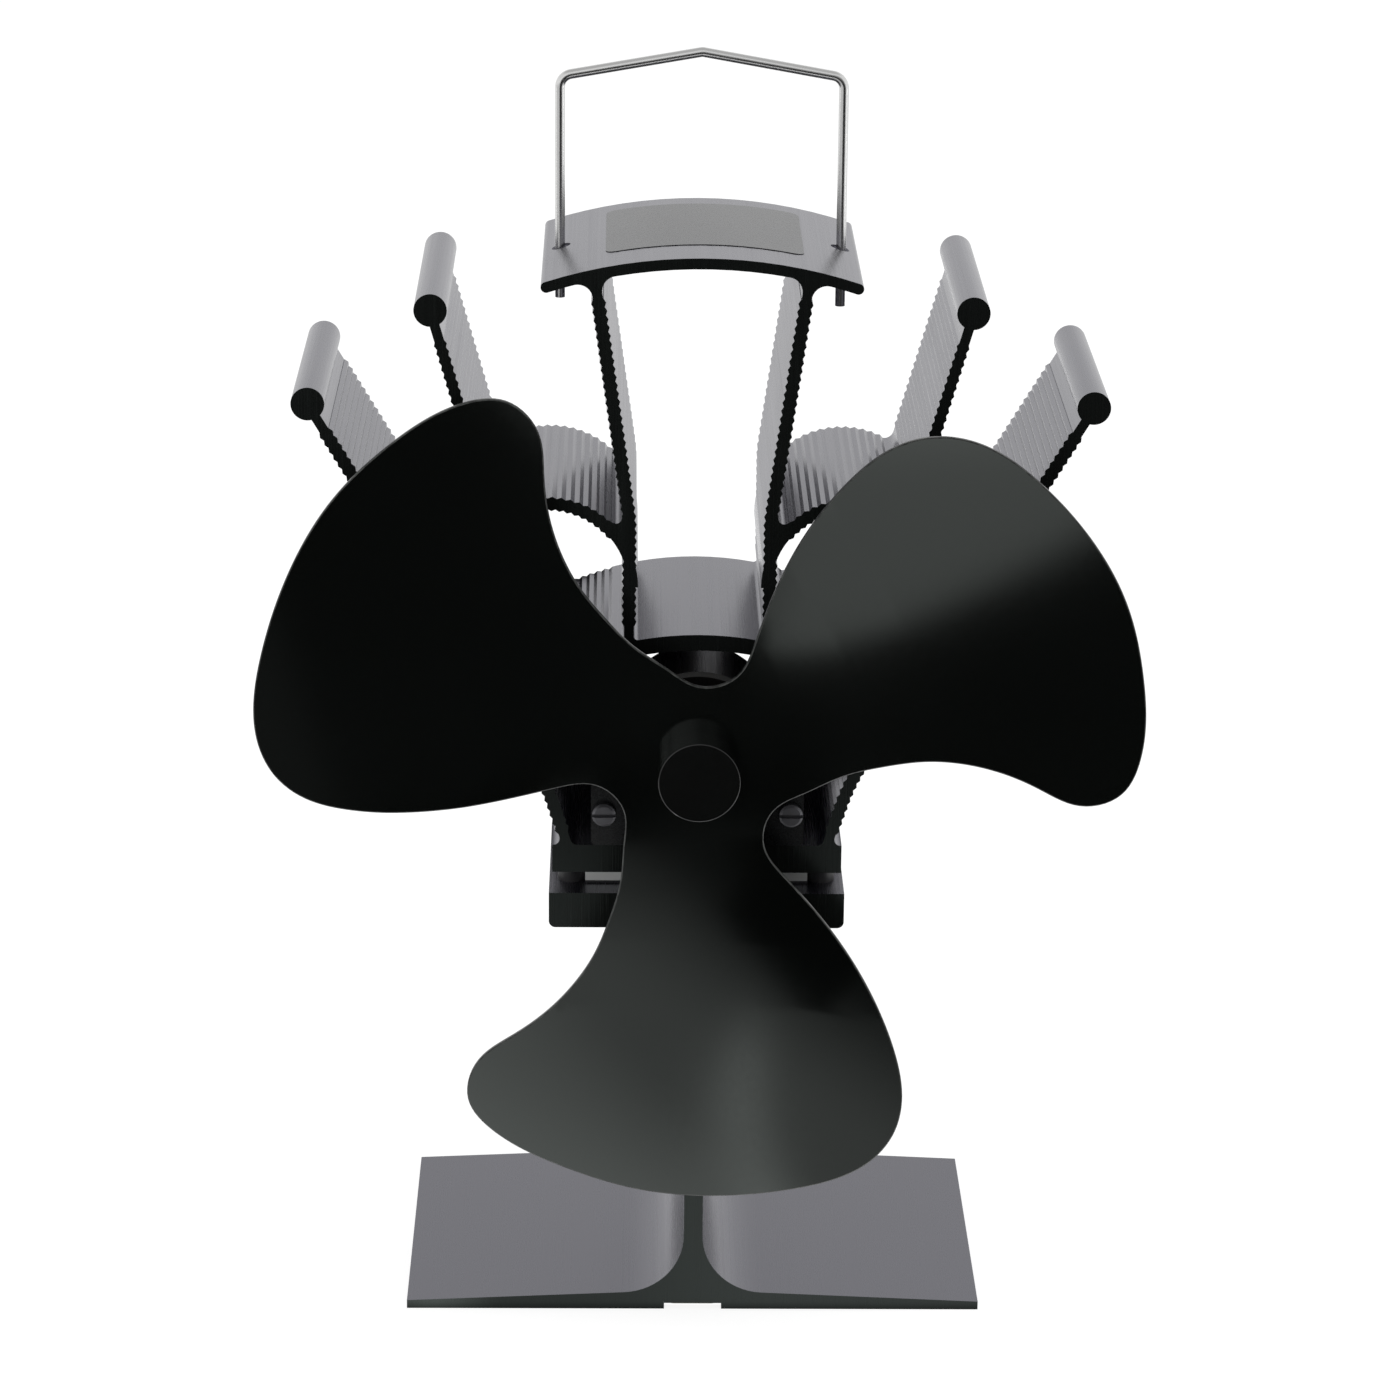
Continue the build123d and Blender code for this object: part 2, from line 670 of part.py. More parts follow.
# Its two screws into the ports, with slotted pan heads
with BuildPart() as mount_screws:
    with BuildSketch(facing(sink_front + mount_screw_depth, mount_screw_height)):
        with GridLocations(2 * mount_screw_offset, 0, 2, 1):
            Circle(mount_screw_radius)
    extrude(amount=mount_screw_depth + mount_thickness)
    with BuildSketch(facing(mount_front, mount_screw_height)):
        with GridLocations(2 * mount_screw_offset, 0, 2, 1):
            Circle(mount_head_radius)
    extrude(amount=mount_head_height)
    head_edges = mount_screws.edges().filter_by(GeomType.CIRCLE).group_by(Axis.Y)[0]
    chamfer(head_edges, mount_head_height * screw_chamfer_share)
    with BuildSketch(facing(mount_front - mount_head_height, mount_screw_height)):
        with GridLocations(2 * mount_screw_offset, 0, 2, 1):
            Rectangle(2 * mount_head_radius, mount_head_radius * screw_slot_share)
    extrude(amount=-mount_head_height * screw_slot_depth_share, mode=Mode.SUBTRACT)
mount_screws.part.label = "mount_screws"

# Two small screws that hold the motor's front on the plate
with BuildPart() as motor_screws:
    with BuildSketch(facing(sink_front + can_wall, axis_height)):
        with GridLocations(2 * motor_screw_offset, 0, 2, 1):
            Circle(motor_screw_radius)
    extrude(amount=can_wall + mount_thickness)
    with BuildSketch(facing(mount_front, axis_height)):
        with GridLocations(2 * motor_screw_offset, 0, 2, 1):
            Circle(motor_head_radius)
    extrude(amount=motor_head_height)
    head_edges = motor_screws.edges().filter_by(GeomType.CIRCLE).group_by(Axis.Y)[0]
    chamfer(head_edges, motor_head_height * screw_chamfer_share)
    with BuildSketch(facing(mount_front - motor_head_height, axis_height)):
        with GridLocations(2 * motor_screw_offset, 0, 2, 1):
            Rectangle(2 * motor_head_radius, motor_head_radius * screw_slot_share)
    extrude(amount=-motor_head_height * screw_slot_depth_share, mode=Mode.SUBTRACT)
motor_screws.part.label = "motor_screws"

# Motor can: a drawn cup with a bearing boss on its front
end_cap_inner = motor_back - end_cap_thickness
with BuildPart() as motor_can:
    with BuildSketch(facing(motor_back, axis_height)):
        Circle(can_radius)
    extrude(amount=can_length)
    chamfer(motor_can.edges().group_by(Axis.Y)[0], can_corner)
    with BuildSketch(facing(sink_front, axis_height)):
        Circle(boss_radius)
    extrude(amount=boss_length)
    with BuildSketch(facing(motor_back, axis_height)):
        Circle(can_radius - can_wall)
    extrude(amount=can_length - can_wall, mode=Mode.SUBTRACT)
    with BuildSketch(facing(sink_front + bearing_length - boss_length, axis_height)):
        Circle(bearing_radius)
    extrude(amount=bearing_length, mode=Mode.SUBTRACT)
    with BuildSketch(facing(sink_front + can_wall, axis_height)):
        with GridLocations(2 * motor_screw_offset, 0, 2, 1):
            Circle(motor_screw_radius + shaft_fit)
    extrude(amount=can_wall, mode=Mode.SUBTRACT)
motor_can.part.label = "motor_can"

# Front bearing, pressed into the boss
with BuildPart() as front_bearing:
    with BuildSketch(facing(sink_front + bearing_length - boss_length, axis_height)):
        Circle(bearing_radius - shaft_fit)
        Circle(shaft_radius + bearing_clearance, mode=Mode.SUBTRACT)
    extrude(amount=bearing_length)
front_bearing.part.label = "front_bearing"

# End cap of moulded plastic, with a boss for the rear bearing and two terminal slots
with BuildPart() as motor_end_cap:
    with BuildSketch(facing(motor_back, axis_height)):
        Circle(can_radius - can_wall - shaft_fit)
    extrude(amount=end_cap_thickness)
    with BuildSketch(facing(motor_back, axis_height)):
        Circle(can_radius - can_wall - 2 * end_cap_rim)
        Circle(end_cap_boss_radius, mode=Mode.SUBTRACT)
    extrude(amount=end_cap_rim, mode=Mode.SUBTRACT)
    with BuildSketch(facing(motor_back, axis_height)):
        Circle(end_cap_boss_radius)
    extrude(amount=-end_cap_boss_length)
    with BuildSketch(facing(motor_back, axis_height)):
        Circle(bearing_radius)
    extrude(amount=end_cap_thickness, mode=Mode.SUBTRACT)
    with BuildSketch(facing(motor_back + end_cap_boss_length, axis_height)):
        Circle(shaft_radius + brush_gap)
    extrude(amount=end_cap_boss_length, mode=Mode.SUBTRACT)
    with BuildSketch(facing(motor_back, axis_height)):
        with GridLocations(2 * terminal_offset, 0, 2, 1):
            Rectangle(terminal_thickness, terminal_width)
    extrude(amount=end_cap_thickness, mode=Mode.SUBTRACT)
motor_end_cap.part.label = "motor_end_cap"

# Rear bearing, pressed into the end cap
with BuildPart() as rear_bearing:
    with BuildSketch(facing(motor_back, axis_height)):
        Circle(bearing_radius - shaft_fit)
        Circle(shaft_radius + bearing_clearance, mode=Mode.SUBTRACT)
    extrude(amount=bearing_length)
rear_bearing.part.label = "rear_bearing"

# Two arc magnets against the can's wall
magnet_outer = can_radius - can_wall - magnet_gap
magnet_inner = magnet_outer - magnet_thickness
core_middle = (sink_front + can_wall + end_cap_inner) / 2 - core_setback
with BuildPart() as magnets:
    with BuildSketch(facing(core_middle + magnet_length / 2, axis_height)):
        with BuildLine():
            outer_arc = CenterArc((0, 0), magnet_outer, -magnet_angle / 2, magnet_angle)
            inner_arc = CenterArc((0, 0), magnet_inner, -magnet_angle / 2, magnet_angle)
            Line(outer_arc @ 0, inner_arc @ 0)
            Line(outer_arc @ 1, inner_arc @ 1)
        make_face()
        mirror(about=Plane.YZ)
    extrude(amount=magnet_length)
magnets.part.label = "magnets"

# Laminated core with three poles
core_radius = magnet_inner - air_gap
shoe_inner = core_radius - core_shoe_thickness
with BuildPart() as armature_core:
    with BuildSketch(facing(core_middle + core_length / 2, axis_height)):
        Circle(core_radius)
        Circle(shoe_inner, mode=Mode.SUBTRACT)
        with PolarLocations(core_radius, core_slots, start_angle=-90 + 180 / core_slots):
            Rectangle(core_radius, core_slot_mouth, mode=Mode.SUBTRACT)
        with PolarLocations(0, core_slots, start_angle=-90):
            Rectangle(core_radius - core_shoe_thickness / 2, core_neck_width, align=(Align.MIN, Align.CENTER))
        Circle(core_hub_radius)
        Circle(shaft_radius + shaft_fit, mode=Mode.SUBTRACT)
    extrude(amount=core_length)
armature_core.part.label = "armature_core"

# A coil round each pole's neck
coil_inner = core_hub_radius + coil_gap
coil_outer = shoe_inner - coil_gap
with BuildPart() as windings:
    for pole in range(core_slots):
        direction = radians(-90 + 360 * pole / core_slots)
        outward = Vector(cos(direction), 0, sin(direction))
        coil_root = Vector(0, core_middle, axis_height) + outward * (coil_inner + coil_build)
        with BuildSketch(Plane(coil_root, x_dir=(0, 1, 0), z_dir=outward)):
            RectangleRounded(
                core_length + 2 * coil_gap + 2 * coil_build,
                core_neck_width + 2 * coil_gap + 2 * coil_build,
                coil_build,
            )
            Rectangle(core_length + 2 * coil_gap, core_neck_width + 2 * coil_gap, mode=Mode.SUBTRACT)
        extrude(amount=coil_outer - coil_inner - 2 * coil_build)
windings.part.label = "windings"

# Commutator, three segments on one sleeve behind the core
commutator_front = core_middle + core_length / 2 + coil_gap + coil_build + coil_gap
with BuildPart() as commutator:
    with BuildSketch(facing(commutator_front + commutator_length, axis_height)):
        Circle(commutator_radius)
        with PolarLocations(commutator_radius, core_slots):
            Rectangle(commutator_slit, commutator_slit, mode=Mode.SUBTRACT)
        Circle(shaft_radius + shaft_fit, mode=Mode.SUBTRACT)
    extrude(amount=commutator_length)
commutator.part.label = "commutator"

# Two spring brushes, one each side of the commutator
brush_offset = commutator_radius + brush_gap + brush_thickness / 2
with BuildPart() as brushes:
    with BuildSketch(facing(end_cap_inner, axis_height)):
        with GridLocations(2 * brush_offset, 0, 2, 1):
            Rectangle(brush_thickness, brush_length)
    extrude(amount=end_cap_inner - commutator_front - brush_width / 2)
brushes.part.label = "brushes"

# Two solder terminals through the end cap
with BuildPart() as terminals:
    with BuildSketch(facing(motor_back + terminal_length - terminal_root, axis_height)):
        with GridLocations(2 * terminal_offset, 0, 2, 1):
            Rectangle(terminal_thickness - shaft_fit, terminal_width - shaft_fit)
    extrude(amount=terminal_length)
terminals.part.label = "terminals"

# Motor shaft, from behind the rear bearing to inside the hub
hub_spigot_front = blade_front - hub_spigot_length
with BuildPart() as motor_shaft:
    with BuildSketch(facing(motor_back + shaft_tail, axis_height)):
        Circle(shaft_radius)
    extrude(amount=motor_back + shaft_tail - hub_spigot_front)
    chamfer(motor_shaft.edges().group_by(Axis.Y)[-1], shaft_chamfer)
motor_shaft.part.label = "motor_shaft"

# Hub: a collar behind the blade and a spigot through it
with BuildPart() as blade_hub:
    with BuildSketch(facing(blade_back + hub_length, axis_height)):
        Circle(hub_radius)
    extrude(amount=hub_length)
    chamfer(blade_hub.edges().group_by(Axis.Y)[-1], cap_chamfer)
    with BuildSketch(facing(blade_back, axis_height)):
        Circle(blade_bore - hub_spigot_clearance)
    extrude(amount=blade_back - hub_spigot_front)
    with BuildSketch(facing(blade_back + hub_length, axis_height)):
        Circle(shaft_radius + shaft_fit)
    extrude(amount=blade_back + hub_length - hub_spigot_front, mode=Mode.SUBTRACT)
    with BuildSketch(level(axis_height, blade_back + hub_length / 2)):
        Circle(grub_radius + grub_clearance)
    extrude(amount=hub_radius, mode=Mode.SUBTRACT)
blade_hub.part.label = "blade_hub"

# Grub screw that holds the hub on the shaft
with BuildPart() as grub_screw:
    with BuildSketch(level(axis_height + shaft_radius + shaft_fit, blade_back + hub_length / 2)):
        Circle(grub_radius)
    extrude(amount=hub_radius - shaft_radius - cap_chamfer)
    with BuildSketch(level(axis_height + hub_radius + shaft_fit - cap_chamfer, blade_back + hub_length / 2)):
        RegularPolygon(grub_socket_side / 2, 6, major_radius=False)
    extrude(amount=-grub_socket_depth, mode=Mode.SUBTRACT)
grub_screw.part.label = "grub_screw"

# Cap over the spigot, in front of the blade
with BuildPart() as hub_cap:
    with BuildSketch(facing(blade_front, axis_height)):
        Circle(cap_radius)
    extrude(amount=cap_length)
    chamfer(hub_cap.edges().group_by(Axis.Y)[0], cap_chamfer)
    with BuildSketch(facing(blade_front, axis_height)):
        Circle(blade_bore)
    extrude(amount=cap_length - cap_floor, mode=Mode.SUBTRACT)
hub_cap.part.label = "hub_cap"


def forward(across, share, bow_share):
    """How far the blade stands forward of its hub, at this place across it."""
    pitch = tan(radians(blade_pitch)) * share * across
    bow = blade_bow * bow_share * (across / blade_half_chord) ** 2
    return pitch + bow + blade_dish * share**2


# One blade lying flat: +X runs out along it, +Z is forward. A curved sheet is lofted through
# parabolic sections, joined to the flat middle, and cut to the blade's edge.
with BuildPart(mode=Mode.PRIVATE) as blade_sheet:
    for share, bow_share in section_shares:
        station = blade_root + share * (blade_radius + blade_overrun - blade_root)
        low = (-blade_half_chord, forward(-blade_half_chord, share, bow_share))
        high = (blade_half_chord, forward(blade_half_chord, share, bow_share))
        pull = (0, forward(0, share, bow_share) - blade_bow * bow_share)
        with BuildSketch(Plane.YZ.offset(station)):
            with BuildLine():
                front = Bezier(low, pull, high)
                back = Bezier(*[(x, z - blade_thickness) for x, z in (low, pull, high)])
                Line(front @ 0, back @ 0)
                Line(front @ 1, back @ 1)
            make_face()
    loft()
    with BuildSketch(Plane.XY.offset(-blade_thickness)):
        Rectangle(2 * blade_root, 2 * blade_half_chord)
    extrude(amount=blade_thickness)
    with BuildSketch(Plane.XY.offset(-blade_half_chord)):
        with BuildLine():
            valley = valley_share * blade_radius
            start = circle_point((0, 0), valley, -180 / blade_count)
            end = circle_point((0, 0), valley, 180 / blade_count)
            turn = 90 - 180 / blade_count
            Spline(
                start,
                *[(out * blade_radius, across * blade_radius) for out, across in blade_edge_shares],
                end,
                tangents=[circle_point((0, 0), 1, turn), circle_point((0, 0), 1, 180 - turn)],
            )
            Polyline(end, (0, 0), start)
        make_face()
    extrude(amount=2 * blade_half_chord, mode=Mode.INTERSECT)

# Fan blade: three such blades round one middle, with the hub's hole
with BuildPart(facing(blade_front, axis_height)) as fan_blade:
    with PolarLocations(0, blade_count, start_angle=-90):
        add(blade_sheet.part)
    with BuildSketch(facing(blade_back, axis_height)):
        Circle(blade_bore)
    extrude(amount=blade_thickness, mode=Mode.SUBTRACT)
fan_blade.part.label = "fan_blade"

os.makedirs("parts", exist_ok=True)
export_step(base_stand.part, "parts/base_stand.step")
export_step(bimetal_strip.part, "parts/bimetal_strip.step")
export_step(bimetal_rivet.part, "parts/bimetal_rivet.step")
export_step(hot_side_pad.part, "parts/hot_side_pad.step")
export_step(module_gasket.part, "parts/module_gasket.step")
export_step(hot_ceramic.part, "parts/hot_ceramic.step")
export_step(cold_ceramic.part, "parts/cold_ceramic.step")
export_step(thermo_pellets.part, "parts/thermo_pellets.step")
export_step(cold_side_pad.part, "parts/cold_side_pad.step")
export_step(clamp_screws.part, "parts/clamp_screws.step")
export_step(spring_washers.part, "parts/spring_washers.step")
export_step(insulating_bushes.part, "parts/insulating_bushes.step")
export_step(heat_sink.part, "parts/heat_sink.step")
export_step(carry_handle.part, "parts/carry_handle.step")
export_step(motor_mount.part, "parts/motor_mount.step")
export_step(mount_screws.part, "parts/mount_screws.step")
export_step(motor_screws.part, "parts/motor_screws.step")
export_step(motor_can.part, "parts/motor_can.step")
export_step(front_bearing.part, "parts/front_bearing.step")
export_step(motor_end_cap.part, "parts/motor_end_cap.step")
export_step(rear_bearing.part, "parts/rear_bearing.step")
export_step(magnets.part, "parts/magnets.step")
export_step(armature_core.part, "parts/armature_core.step")
export_step(windings.part, "parts/windings.step")
export_step(commutator.part, "parts/commutator.step")
export_step(brushes.part, "parts/brushes.step")
export_step(terminals.part, "parts/terminals.step")
export_step(motor_shaft.part, "parts/motor_shaft.step")
export_step(blade_hub.part, "parts/blade_hub.step")
export_step(grub_screw.part, "parts/grub_screw.step")
export_step(hub_cap.part, "parts/hub_cap.step")
export_step(fan_blade.part, "parts/fan_blade.step")
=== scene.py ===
import json
from math import atan2, cos, pi, radians, sin, sqrt, tan

import bpy
import numpy as np
from mathutils import Matrix, Vector
from mathutils.geometry import delaunay_2d_cdt


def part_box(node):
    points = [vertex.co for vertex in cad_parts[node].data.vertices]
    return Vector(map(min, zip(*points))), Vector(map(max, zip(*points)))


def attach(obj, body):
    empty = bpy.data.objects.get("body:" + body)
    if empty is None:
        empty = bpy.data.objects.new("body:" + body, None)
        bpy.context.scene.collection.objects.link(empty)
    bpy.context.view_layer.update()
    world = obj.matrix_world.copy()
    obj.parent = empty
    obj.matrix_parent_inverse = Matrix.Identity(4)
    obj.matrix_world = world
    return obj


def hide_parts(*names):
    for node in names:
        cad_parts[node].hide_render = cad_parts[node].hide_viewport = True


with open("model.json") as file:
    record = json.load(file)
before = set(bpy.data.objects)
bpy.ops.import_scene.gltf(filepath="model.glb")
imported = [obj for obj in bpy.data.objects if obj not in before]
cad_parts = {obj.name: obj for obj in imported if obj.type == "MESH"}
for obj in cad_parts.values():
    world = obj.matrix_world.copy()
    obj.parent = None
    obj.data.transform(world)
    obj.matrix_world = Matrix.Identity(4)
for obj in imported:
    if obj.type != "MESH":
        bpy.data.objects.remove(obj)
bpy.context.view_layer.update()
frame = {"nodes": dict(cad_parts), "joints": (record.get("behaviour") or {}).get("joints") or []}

# A stove fan on a white floor. Metres, +Z up, the fan faces -Y, as in the frame.
MM = 0.001
joints = {joint["name"]: joint for joint in frame["joints"]}
axis_height = joints["rotor_spin"]["pos_m"][2]

# Fan blade: sizes in millimetres, across the sheet as it was stamped
blade_radius = 91.4
blade_thickness = 1.2
blade_count = 3
blade_root = 14.0
blade_overrun = 4.0
blade_pitch = 10.4
blade_bow = 5.5
blade_dish = 3.4
blade_half_chord = 50.0
blade_bore = 4.0
blade_edge_round = 0.28
blade_inset = 0.02
root_softness = 0.05
valley_share = 0.191

# The blade's edge between two valleys, in shares of its radius: outwards, then across
blade_edge_shares = [
    (0.173, -0.164),
    (0.262, -0.171),
    (0.350, -0.195),
    (0.435, -0.229),
    (0.509, -0.277),
    (0.574, -0.339),
    (0.627, -0.411),
    (0.684, -0.485),
    (0.778, -0.509),
    (0.853, -0.459),
    (0.943, -0.303),
    (0.993, -0.129),
    (0.996, 0.052),
    (0.961, 0.229),
    (0.879, 0.390),
    (0.806, 0.441),
    (0.722, 0.456),
    (0.630, 0.439),
    (0.547, 0.407),
    (0.382, 0.308),
    (0.246, 0.191),
    (0.177, 0.146),
]
# How far the sheet has bowed at each share of the way from root to tip
bow_shares = ([0.0, 0.12, 0.28, 0.45, 1.0], [0.0, 0.2, 0.75, 1.0, 1.0])

# The blade's mesh: grid and steps in millimetres, and turns in degrees, from the front over the rim
blade_grid = 1.5
grid_margin_share = 0.8
blade_edge_step = 1.2
slope_step = 0.4
bore_sides = 40
front_rim_turns = (30, 60, 90)
back_rim_turns = (90, 120, 150)
weld_distance = 1e-6
# What the triangulation returns: the triangles inside the rim
only_inside = 1

# Hub cap
cap_round = 0.00028
cap_round_turns = (0, 30, 60, 90)
cap_floor = 0.002
cap_sides = 96

# Wire handle: how far its top bar reaches below its peak, and the height in which its marks turn
wire_bar_depth = 0.0076
wire_turn = 0.0015

# Label on the top plate. Edges from the crease angle up, in degrees, stay sharp.
label_left = -0.0191
label_right = 0.0204
label_front = -0.0245
label_back = 0.0135
label_thickness = 0.00012
label_corner = 0.0022
label_columns = 40
label_rows = 12
label_crease = 40
plate_radius = 0.0997

# The floor, how far it reaches under the foot, and how bright the camera sees it
floor_size = 6.0
foot_cover = 0.002
floor_colour = (0.86, 0.86, 0.86)
floor_glow = 1.30
floor_glow_share = 0.65
full_white = 1.0

# What gloss sees on the floor, from the fan forwards: its own shade, a bright strip, then the white sheet
shade_end = -0.037
shade_level = 0.45
shade_start = -0.041
glare_level = 2.3
glare_end = -0.14
sheet_start = -0.22
# The sheet ends aslant: where it ends left and right of a step, and how much nearer per metre of X
edge_left = -0.33
edge_right = -0.385
edge_step_left = -0.012
edge_step_right = 0.0
edge_slant = 1.2
edge_soft = 0.02
# Painted shade: it is darker at the left
left_shade_level = 0.68
left_x = -0.03
right_x = 0.02
# A painted highlight: a brighter patch lies across it, left of the middle
highlight_patch_level = 1.25
patch_x = -0.055
patch_half_width = 0.015
patch_front = -0.37
patch_back = -0.26
# The tent's walls as lines on the floor: where they cross Y = 0, and how fast their X follows Y
wall_left = -0.02
wall_left_rate = 0.23
wall_right = 0.05
wall_right_rate = -0.9
wall_soft = 0.02

# What gloss sees above the floor: the tent's screens, and the dark room in its opening
screen_low_white = 1.02
screen_white = 0.91
overhead_white = 0.55
world_light = 0.55
room_dark = 0.03
room_horizon = 0.10
room_high = 0.45
# Where these change, as the X, Y and Z of a direction from the fan
side_left_lean = -0.36
side_right_lean = 0.9
side_blur = 0.05
back_lean = 0.35
back_start = -0.05
back_full = 0.25
roof_start = 0.35
roof_full = 0.6
room_rise_start = 0.08
room_rise_full = 0.28
screen_fall_start = 0.2
screen_fall_full = 0.4
overhead_start = 0.62
overhead_full = 0.9

# Painted shade: two black cards behind the motor's bay that only gloss sees, with a slot between them for a
# painted highlight on the motor's can
painted_shade_colour = (0.01, 0.01, 0.01)
card_gap = 0.006
card_reach = 0.032
highlight_slot_left = 0.0015
highlight_slot_right = 0.0105
card_bottom = 0.100
card_top = 0.146

# Painted shade: a soft card in front of the hub that only gloss sees, clear at its lower left, black at its
# upper right, faded at three sides
scrim_depth = -0.1
scrim_reach = 0.036
scrim_side_fade = 0.016
scrim_bottom = 0.03
scrim_top = 0.122
scrim_top_fade = 0.024
scrim_slant = 0.6
scrim_clear = 0.046
scrim_black = 0.090
scrim_cover = 0.92

# Lamps: place, the point that each faces, width, height and power
lamps = {
    "overhead": ((0.2, 0.1, 1.6), (0, 0, 0.1), 1.2, 1.2, 9.0),
    "front_left": ((-0.42, -1.6, 0.36), (0, -0.05, 0.12), 0.42, 0.5, 6.0),
}

# Camera: where the photograph was taken from, its turns in radians, and its lens in millimetres
camera_place = Vector((-0.015423, -0.962294, 0.437090))
camera_yaw = 0.017
camera_pitch = 0.316
camera_roll = 0.010
camera_lens = 124.1
camera_film = 36.0
camera_clip = 0.01

# The range that most of a noise texture's values lie in
noise_low = 0.3
noise_high = 0.7
# How far a face looks along Y: an extrusion's sides less than the first, its cut ends more than the second
cut_low = 0.8
cut_high = 0.95
# A direction along Y, a little aslant so that no face is square to it
die_direction = (0.03, 1.0, 0.02)

# Bare metals: darkest and lightest colour, smoothest and roughest, and marks per metre along X, Y and Z
metals = {
    "zinc_steel": ((0.42, 0.43, 0.44), (0.58, 0.59, 0.60), (0.25, 0.42), (900, 900, 900)),
    "burnished_steel": ((0.08, 0.08, 0.085), (0.14, 0.14, 0.15), (0.38, 0.5), (900, 900, 900)),
    "rivet_aluminium": ((0.5, 0.5, 0.51), (0.64, 0.64, 0.65), (0.3, 0.45), (900, 900, 900)),
    "turned_aluminium": ((0.55, 0.55, 0.56), (0.68, 0.68, 0.69), (0.2, 0.34), (40, 4200, 40)),
    "bimetal": ((0.42, 0.39, 0.33), (0.56, 0.53, 0.46), (0.28, 0.4), (2600, 30, 900)),
    "bearing_bronze": ((0.45, 0.30, 0.15), (0.60, 0.42, 0.22), (0.35, 0.5), (1500, 1500, 1500)),
    "ground_steel": ((0.58, 0.58, 0.58), (0.70, 0.70, 0.70), (0.12, 0.22), (600, 4000, 600)),
    "lamination_steel": ((0.25, 0.25, 0.26), (0.38, 0.38, 0.39), (0.3, 0.45), (40, 2000, 40)),
    "copper_wire": ((0.42, 0.16, 0.06), (0.60, 0.26, 0.11), (0.22, 0.34), (30, 3000, 30)),
    "copper_bar": ((0.55, 0.27, 0.14), (0.70, 0.37, 0.20), (0.2, 0.34), (600, 2000, 600)),
}
# Matt materials: darkest and lightest colour, smoothest and roughest, grains per metre, their depth, IOR
matts = {
    "black_steel": ((0.0015, 0.0018, 0.002), (0.0035, 0.004, 0.0044), (0.22, 0.34), 1800, 0.000004, 1.4),
    "alumina": ((0.78, 0.78, 0.76), (0.86, 0.86, 0.84), (0.5, 0.65), 1500, 0.00002, 1.5),
    "graphite_pad": ((0.010, 0.010, 0.011), (0.022, 0.022, 0.024), (0.5, 0.7), 1200, 0.00002, 1.5),
    "black_moulding": ((0.010, 0.010, 0.011), (0.022, 0.022, 0.023), (0.4, 0.55), 1100, 0.00002, 1.5),
    "gasket_fibre": ((0.36, 0.37, 0.36), (0.50, 0.51, 0.50), (0.6, 0.8), 1300, 0.00004, 1.5),
    "semiconductor": ((0.20, 0.20, 0.22), (0.32, 0.32, 0.34), (0.3, 0.5), 2000, 0.00002, 1.5),
    "ferrite": ((0.06, 0.06, 0.06), (0.10, 0.10, 0.10), (0.5, 0.65), 1500, 0.00002, 1.5),
}
# The material of each CAD node
node_materials = {
    "base_stand": "anodised_extrusion",
    "heat_sink": "anodised_extrusion",
    "motor_mount": "black_steel",
    "fan_blade": "black_sheet",
    "hub_cap": "black_cap",
    "blade_hub": "turned_aluminium",
    "carry_handle": "drawn_wire",
    "bimetal_strip": "bimetal",
    "bimetal_rivet": "rivet_aluminium",
    "hot_side_pad": "graphite_pad",
    "cold_side_pad": "graphite_pad",
    "module_gasket": "gasket_fibre",
    "hot_ceramic": "alumina",
    "cold_ceramic": "alumina",
    "thermo_pellets": "semiconductor",
    "clamp_screws": "black_steel",
    "grub_screw": "black_steel",
    "spring_washers": "zinc_steel",
    "mount_screws": "burnished_steel",
    "motor_screws": "black_steel",
    "motor_can": "black_can",
    "terminals": "zinc_steel",
    "insulating_bushes": "black_moulding",
    "motor_end_cap": "black_moulding",
    "front_bearing": "bearing_bronze",
    "rear_bearing": "bearing_bronze",
    "brushes": "bearing_bronze",
    "magnets": "ferrite",
    "motor_shaft": "ground_steel",
    "armature_core": "lamination_steel",
    "windings": "copper_wire",
    "commutator": "copper_bar",
}


# Node trees: short calls that keep the materials readable


